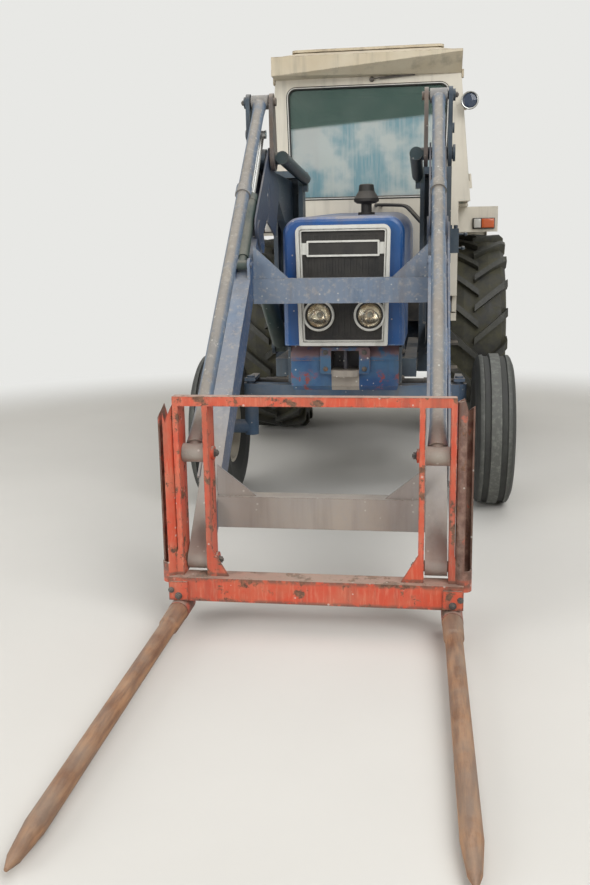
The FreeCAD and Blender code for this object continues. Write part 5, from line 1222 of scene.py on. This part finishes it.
WORK_LAMP = Vector((0.640, 1.19158, 2.262))
WORK_SHELL = [(0.010, 0.0), (0.006, 0.044), (-0.004, 0.0475), (-0.0045, 0.0515), (-0.001, 0.054),
              (0.014, 0.0535), (0.032, 0.048), (0.052, 0.039), (0.070, 0.026), (0.080, 0.018), (0.080, 0.0)]
WORK_RIM = [(-0.0048, 0.0455), (-0.0070, 0.0475), (-0.0070, 0.0515), (-0.0046, 0.0530), (-0.0044, 0.0455)]
WORK_GLASS = [(-0.0030, 0.0), (-0.0015, 0.022), (0.002, 0.040), (0.004, 0.0445), (0.0055, 0.043),
              (0.004, 0.0)]
shell = turned(WORK_SHELL, WORK_LAMP, 48)
finished([shell], "work_lamp_shell", 50, "chassis", DARK_STEEL)
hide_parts("lamps")
rim = turned(WORK_RIM, WORK_LAMP, 48)
finished([rim], "work_lamp_rim", 50, "chassis", ROD_STEEL)
work_lens = turned(WORK_GLASS, WORK_LAMP, 40)
finished([work_lens], "work_lamp_lens", 50, "chassis", WORK_LENS)
print("lamps made")

# %% [markdown]
# The windscreen and the rear window are held by a fat black rubber seal, the front one with a thin light
# insert. The door and quarter panes have thinner seals. A plane of the window's size gets its corners
# rounded, keeps only its outline and becomes a tube.


# %% Window seals
def window_ring(name, corners, top_radius, low_radius, thickness):
    bpy.ops.object.select_all(action="DESELECT")
    bpy.ops.mesh.primitive_plane_add(size=1.0)
    ring = bpy.context.object
    for vertex, corner in zip(ring.data.vertices, corners):
        vertex.co = corner
    middle_z = (corners[0].z + corners[2].z) / 2
    start_edit(ring, "VERT")
    for above, radius in ((True, top_radius), (False, low_radius)):
        shell = bmesh.from_edit_mesh(ring.data)
        for vertex in shell.verts:
            vertex.select_set((vertex.co.z > middle_z) == above)
        bmesh.update_edit_mesh(ring.data)
        bpy.ops.mesh.bevel(offset=radius, offset_type="OFFSET", segments=6, affect="VERTICES")
    bpy.ops.mesh.select_all(action="SELECT")
    bpy.ops.mesh.delete(type="ONLY_FACE")
    end_edit()
    pick(ring)
    bpy.ops.object.convert(target="CURVE")
    ring = bpy.context.object
    ring.data.bevel_depth = thickness
    ring.data.bevel_resolution = 3
    bpy.ops.object.convert(target="MESH")
    ring = bpy.context.object
    ring.name = name
    smooth(ring, 60)
    return ring


glass_low, glass_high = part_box("cab_glass")
wall_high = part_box("cab_sides")[1]
WALL_FRONT = glass_low.y - 0.012
REAR_FACE = glass_high.y + 0.012
WAIST = FENDER_TOP + 0.015
EAVE = wall_high.z
HALF_WAIST = wall_high.x
HALF_TOP = HALF_WAIST - 0.072
SCREEN_LOW = WAIST + 0.035
SCREEN_HIGH = EAVE - 0.055
SCREEN_HALF_LOW = HALF_WAIST - 0.168
SCREEN_HALF_TOP = HALF_TOP - 0.076
REAR_LOW = WAIST - 0.105
INSERT_OUT = 0.001
PANE_TOP_RADIUS = 0.055
PANE_LOW_RADIUS = 0.020
FAT_SEAL = 0.011
THIN_SEAL = 0.0065
PANE_RINGS = (
    ("windscreen_seal", WALL_FRONT + 0.002, SCREEN_HALF_LOW, SCREEN_HALF_TOP, SCREEN_LOW, SCREEN_HIGH,
     FAT_SEAL, SEAL_RUBBER, "black_plastic"),
    ("windscreen_insert", WALL_FRONT - 0.0085, SCREEN_HALF_LOW + INSERT_OUT, SCREEN_HALF_TOP + INSERT_OUT,
     SCREEN_LOW - INSERT_OUT, SCREEN_HIGH + INSERT_OUT, 0.0030, SURROUND_CREAM, "cream_paint"),
    ("rear_window_seal", REAR_FACE, SCREEN_HALF_LOW, SCREEN_HALF_TOP - 0.020, REAR_LOW, SCREEN_HIGH,
     FAT_SEAL, SEAL_RUBBER, "black_plastic"),
)
for name, y, low_half, top_half, low_z, top_z, thickness, material, slot_name in PANE_RINGS:
    corners = [Vector((-low_half, y, low_z)), Vector((low_half, y, low_z)),
               Vector((-top_half, y, top_z)), Vector((top_half, y, top_z))]
    ring = window_ring(name, corners, PANE_TOP_RADIUS, PANE_LOW_RADIUS, thickness)
    hand_over(ring, name, "chassis", material)


def slant_x(z):
    share = (z - WAIST) / (EAVE - WAIST)
    return HALF_WAIST + share * (HALF_TOP - HALF_WAIST)


def side_ring(name, side, y0, y1, z0, z1, corner, body):
    low_x = side * (slant_x(z0) - 0.0005)
    top_x = side * (slant_x(z1) - 0.0005)
    corners = [Vector((low_x, y0, z0)), Vector((low_x, y1, z0)),
               Vector((top_x, y0, z1)), Vector((top_x, y1, z1))]
    ring = window_ring(name, corners, corner, corner, THIN_SEAL)
    return hand_over(ring, name, body, SEAL_RUBBER)


DOOR_GAP = 0.008
DOOR_FRAME = 0.062
DOOR_POST = 2.18658
DOOR_PANE_FRONT = WALL_FRONT + 0.044 + DOOR_GAP + DOOR_FRAME
DOOR_PANE_REAR = DOOR_POST - DOOR_GAP - DOOR_FRAME
DOOR_PANE_LOW = WAIST + 0.090
DOOR_PANE_HIGH = EAVE - 0.070 - DOOR_GAP - DOOR_FRAME
QUARTER_FRONT = DOOR_POST + 0.060
QUARTER_REAR = REAR_FACE - 0.036 - 0.034
QUARTER_LOW = WAIST + 0.060
QUARTER_HIGH = EAVE - 0.100
for side, label in ((1, "left"), (-1, "right")):
    side_ring("door_seal_" + label, side, DOOR_PANE_FRONT, DOOR_PANE_REAR, DOOR_PANE_LOW, DOOR_PANE_HIGH,
              0.045, "door_" + label)
    side_ring("quarter_seal_" + label, side, QUARTER_FRONT, QUARTER_REAR, QUARTER_LOW, QUARTER_HIGH,
              0.040, "chassis")
print("window seals made, wall front at", round(WALL_FRONT, 4), "rear face", round(REAR_FACE, 4))

# %% [markdown]
# A single wiper hangs from a pivot above the windscreen: a shaft and its cap, a thin arm and a blade in a
# channel.

# %% Wiper
WIPER_Z = 2.432
PIVOT = Vector((0.030, WALL_FRONT, WIPER_Z - 0.010))
BLADE_END = Vector((0.270, WALL_FRONT - 0.016, WIPER_Z + 0.006))
cap = turned([(0.0, 0.0), (0.0, 0.016), (-0.010, 0.016), (-0.022, 0.010), (-0.024, 0.0)], PIVOT, 24)
smooth(cap, 40)
arm = bent_rod([PIVOT + Vector((0.0, -0.018, 0.0)), PIVOT + Vector((0.04, -0.022, 0.004)),
                BLADE_END + Vector((-0.10, -0.006, -0.001)), BLADE_END], 0.0035)
blade = rounded_block((PIVOT.x + 0.05, WALL_FRONT - 0.020, PIVOT.z - 0.006),
                      (BLADE_END.x + 0.03, WALL_FRONT - 0.008, PIVOT.z + 0.003), 0.002)
for vertex in blade.data.vertices:
    share = (vertex.co.x - PIVOT.x) / (BLADE_END.x - PIVOT.x)
    vertex.co.z += share * (BLADE_END.z - PIVOT.z)
wiper = joined([cap, arm, blade], "wiper")
hand_over(wiper, "wiper", "chassis", DARK_STEEL)
print("wiper from", tuple(round(v, 3) for v in PIVOT))

# %% [markdown]
# Nuts and bolts give a machine its scale. The wheel nuts sit on a circle round each hub, and the rear rims'
# clamps have one each. The tow frame has one in each corner and the nose casting four on each side. The
# rocker pins and the carriage's pins have one in their middle, and the carriage two more beside each tine.

# %% Nuts and bolts
# a circle is: how many, the first one's shift in steps, their face, the circle's radius and the nut's size
FRONT_NUTS = (6, 0.0, 0.7465, 0.068, 0.012)
REAR_NUTS = (8, 0.0, 0.7295, 0.104, 0.014)
RIM_CLAMPS = (8, 0.5, 0.745, 0.322, 0.015)
NUT_CIRCLES = {"front": [FRONT_NUTS], "rear": [REAR_NUTS, RIM_CLAMPS]}


def nut_circle(side, axle, count, shift, face, circle, size):
    places = []
    for index in range(count):
        turn = math.tau * (index + shift) / count
        y = axle[0] + circle * math.cos(turn)
        z = axle[1] + circle * math.sin(turn)
        places.append(((side * face, y, z), (side, 0, 0), size))
    return places


for kind, axle in (("front", front_axle), ("rear", rear_axle)):
    for side, label in ((1, "left"), (-1, "right")):
        places = [nut for form in NUT_CIRCLES[kind] for nut in nut_circle(side, axle, *form)]
        bolts(kind + "_wheel_nuts_" + label, places, kind + "_wheel_" + label, ZINC)

TOW_FACE = -0.46142
TOW_SIDES = (-0.090, 0.098)
TOW_HEIGHTS = (0.798, 0.878)
NOSE_FACE = -0.44742
NOSE_SIDE = 0.276
NOSE_HEIGHTS = (0.752, 0.876)
tow_places = [((x, TOW_FACE, z), (0, -1, 0), 0.010) for x in TOW_SIDES for z in TOW_HEIGHTS]
bolts("tow_frame_bolts", tow_places, "chassis", DARK_STEEL)
flange_places = [((side * NOSE_SIDE, NOSE_FACE + back, z), (side, 0, 0), 0.010)
                 for side in (-1, 1) for z in NOSE_HEIGHTS for back in (0.040, 0.100)]
bolts("nose_flange_bolts", flange_places, "chassis", DARK_STEEL)

ROCKER_PIN = (-0.16042, 2.081)
ROCKER_CAP = 0.079
FORK_PIN = (-1.66342, 0.235)
LINK_PIN = (-1.68042, 0.645)
POST_FACE = 0.0725
PIN_BOLT = 0.013
BEAM_FACE = -1.77142
BEAM_BOLTS = ((0.4935, 0.128, 0.011), (0.520, 0.150, 0.009))
rocker_places = [((side * (ARM_X + ROCKER_CAP), *ROCKER_PIN), (side, 0, 0), PIN_BOLT) for side in (-1, 1)]
bolts("rocker_pin_bolts", rocker_places, "rockers", DARK_STEEL)
carriage_places = [((side * ARM_X + end * POST_FACE, *pin), (end, 0, 0), PIN_BOLT)
                   for side in (-1, 1) for end in (-1, 1) for pin in (FORK_PIN, LINK_PIN)]
carriage_places += [((side * x, BEAM_FACE, z), (0, -1, 0), size)
                    for side in (-1, 1) for x, z, size in BEAM_BOLTS]
bolts("carriage_pin_bolts", carriage_places, "fork_carriage", DARK_STEEL)
bpy.data.objects.remove(BOLT)
print("bolts on the wheels, the tow frame, the nose and the loader")
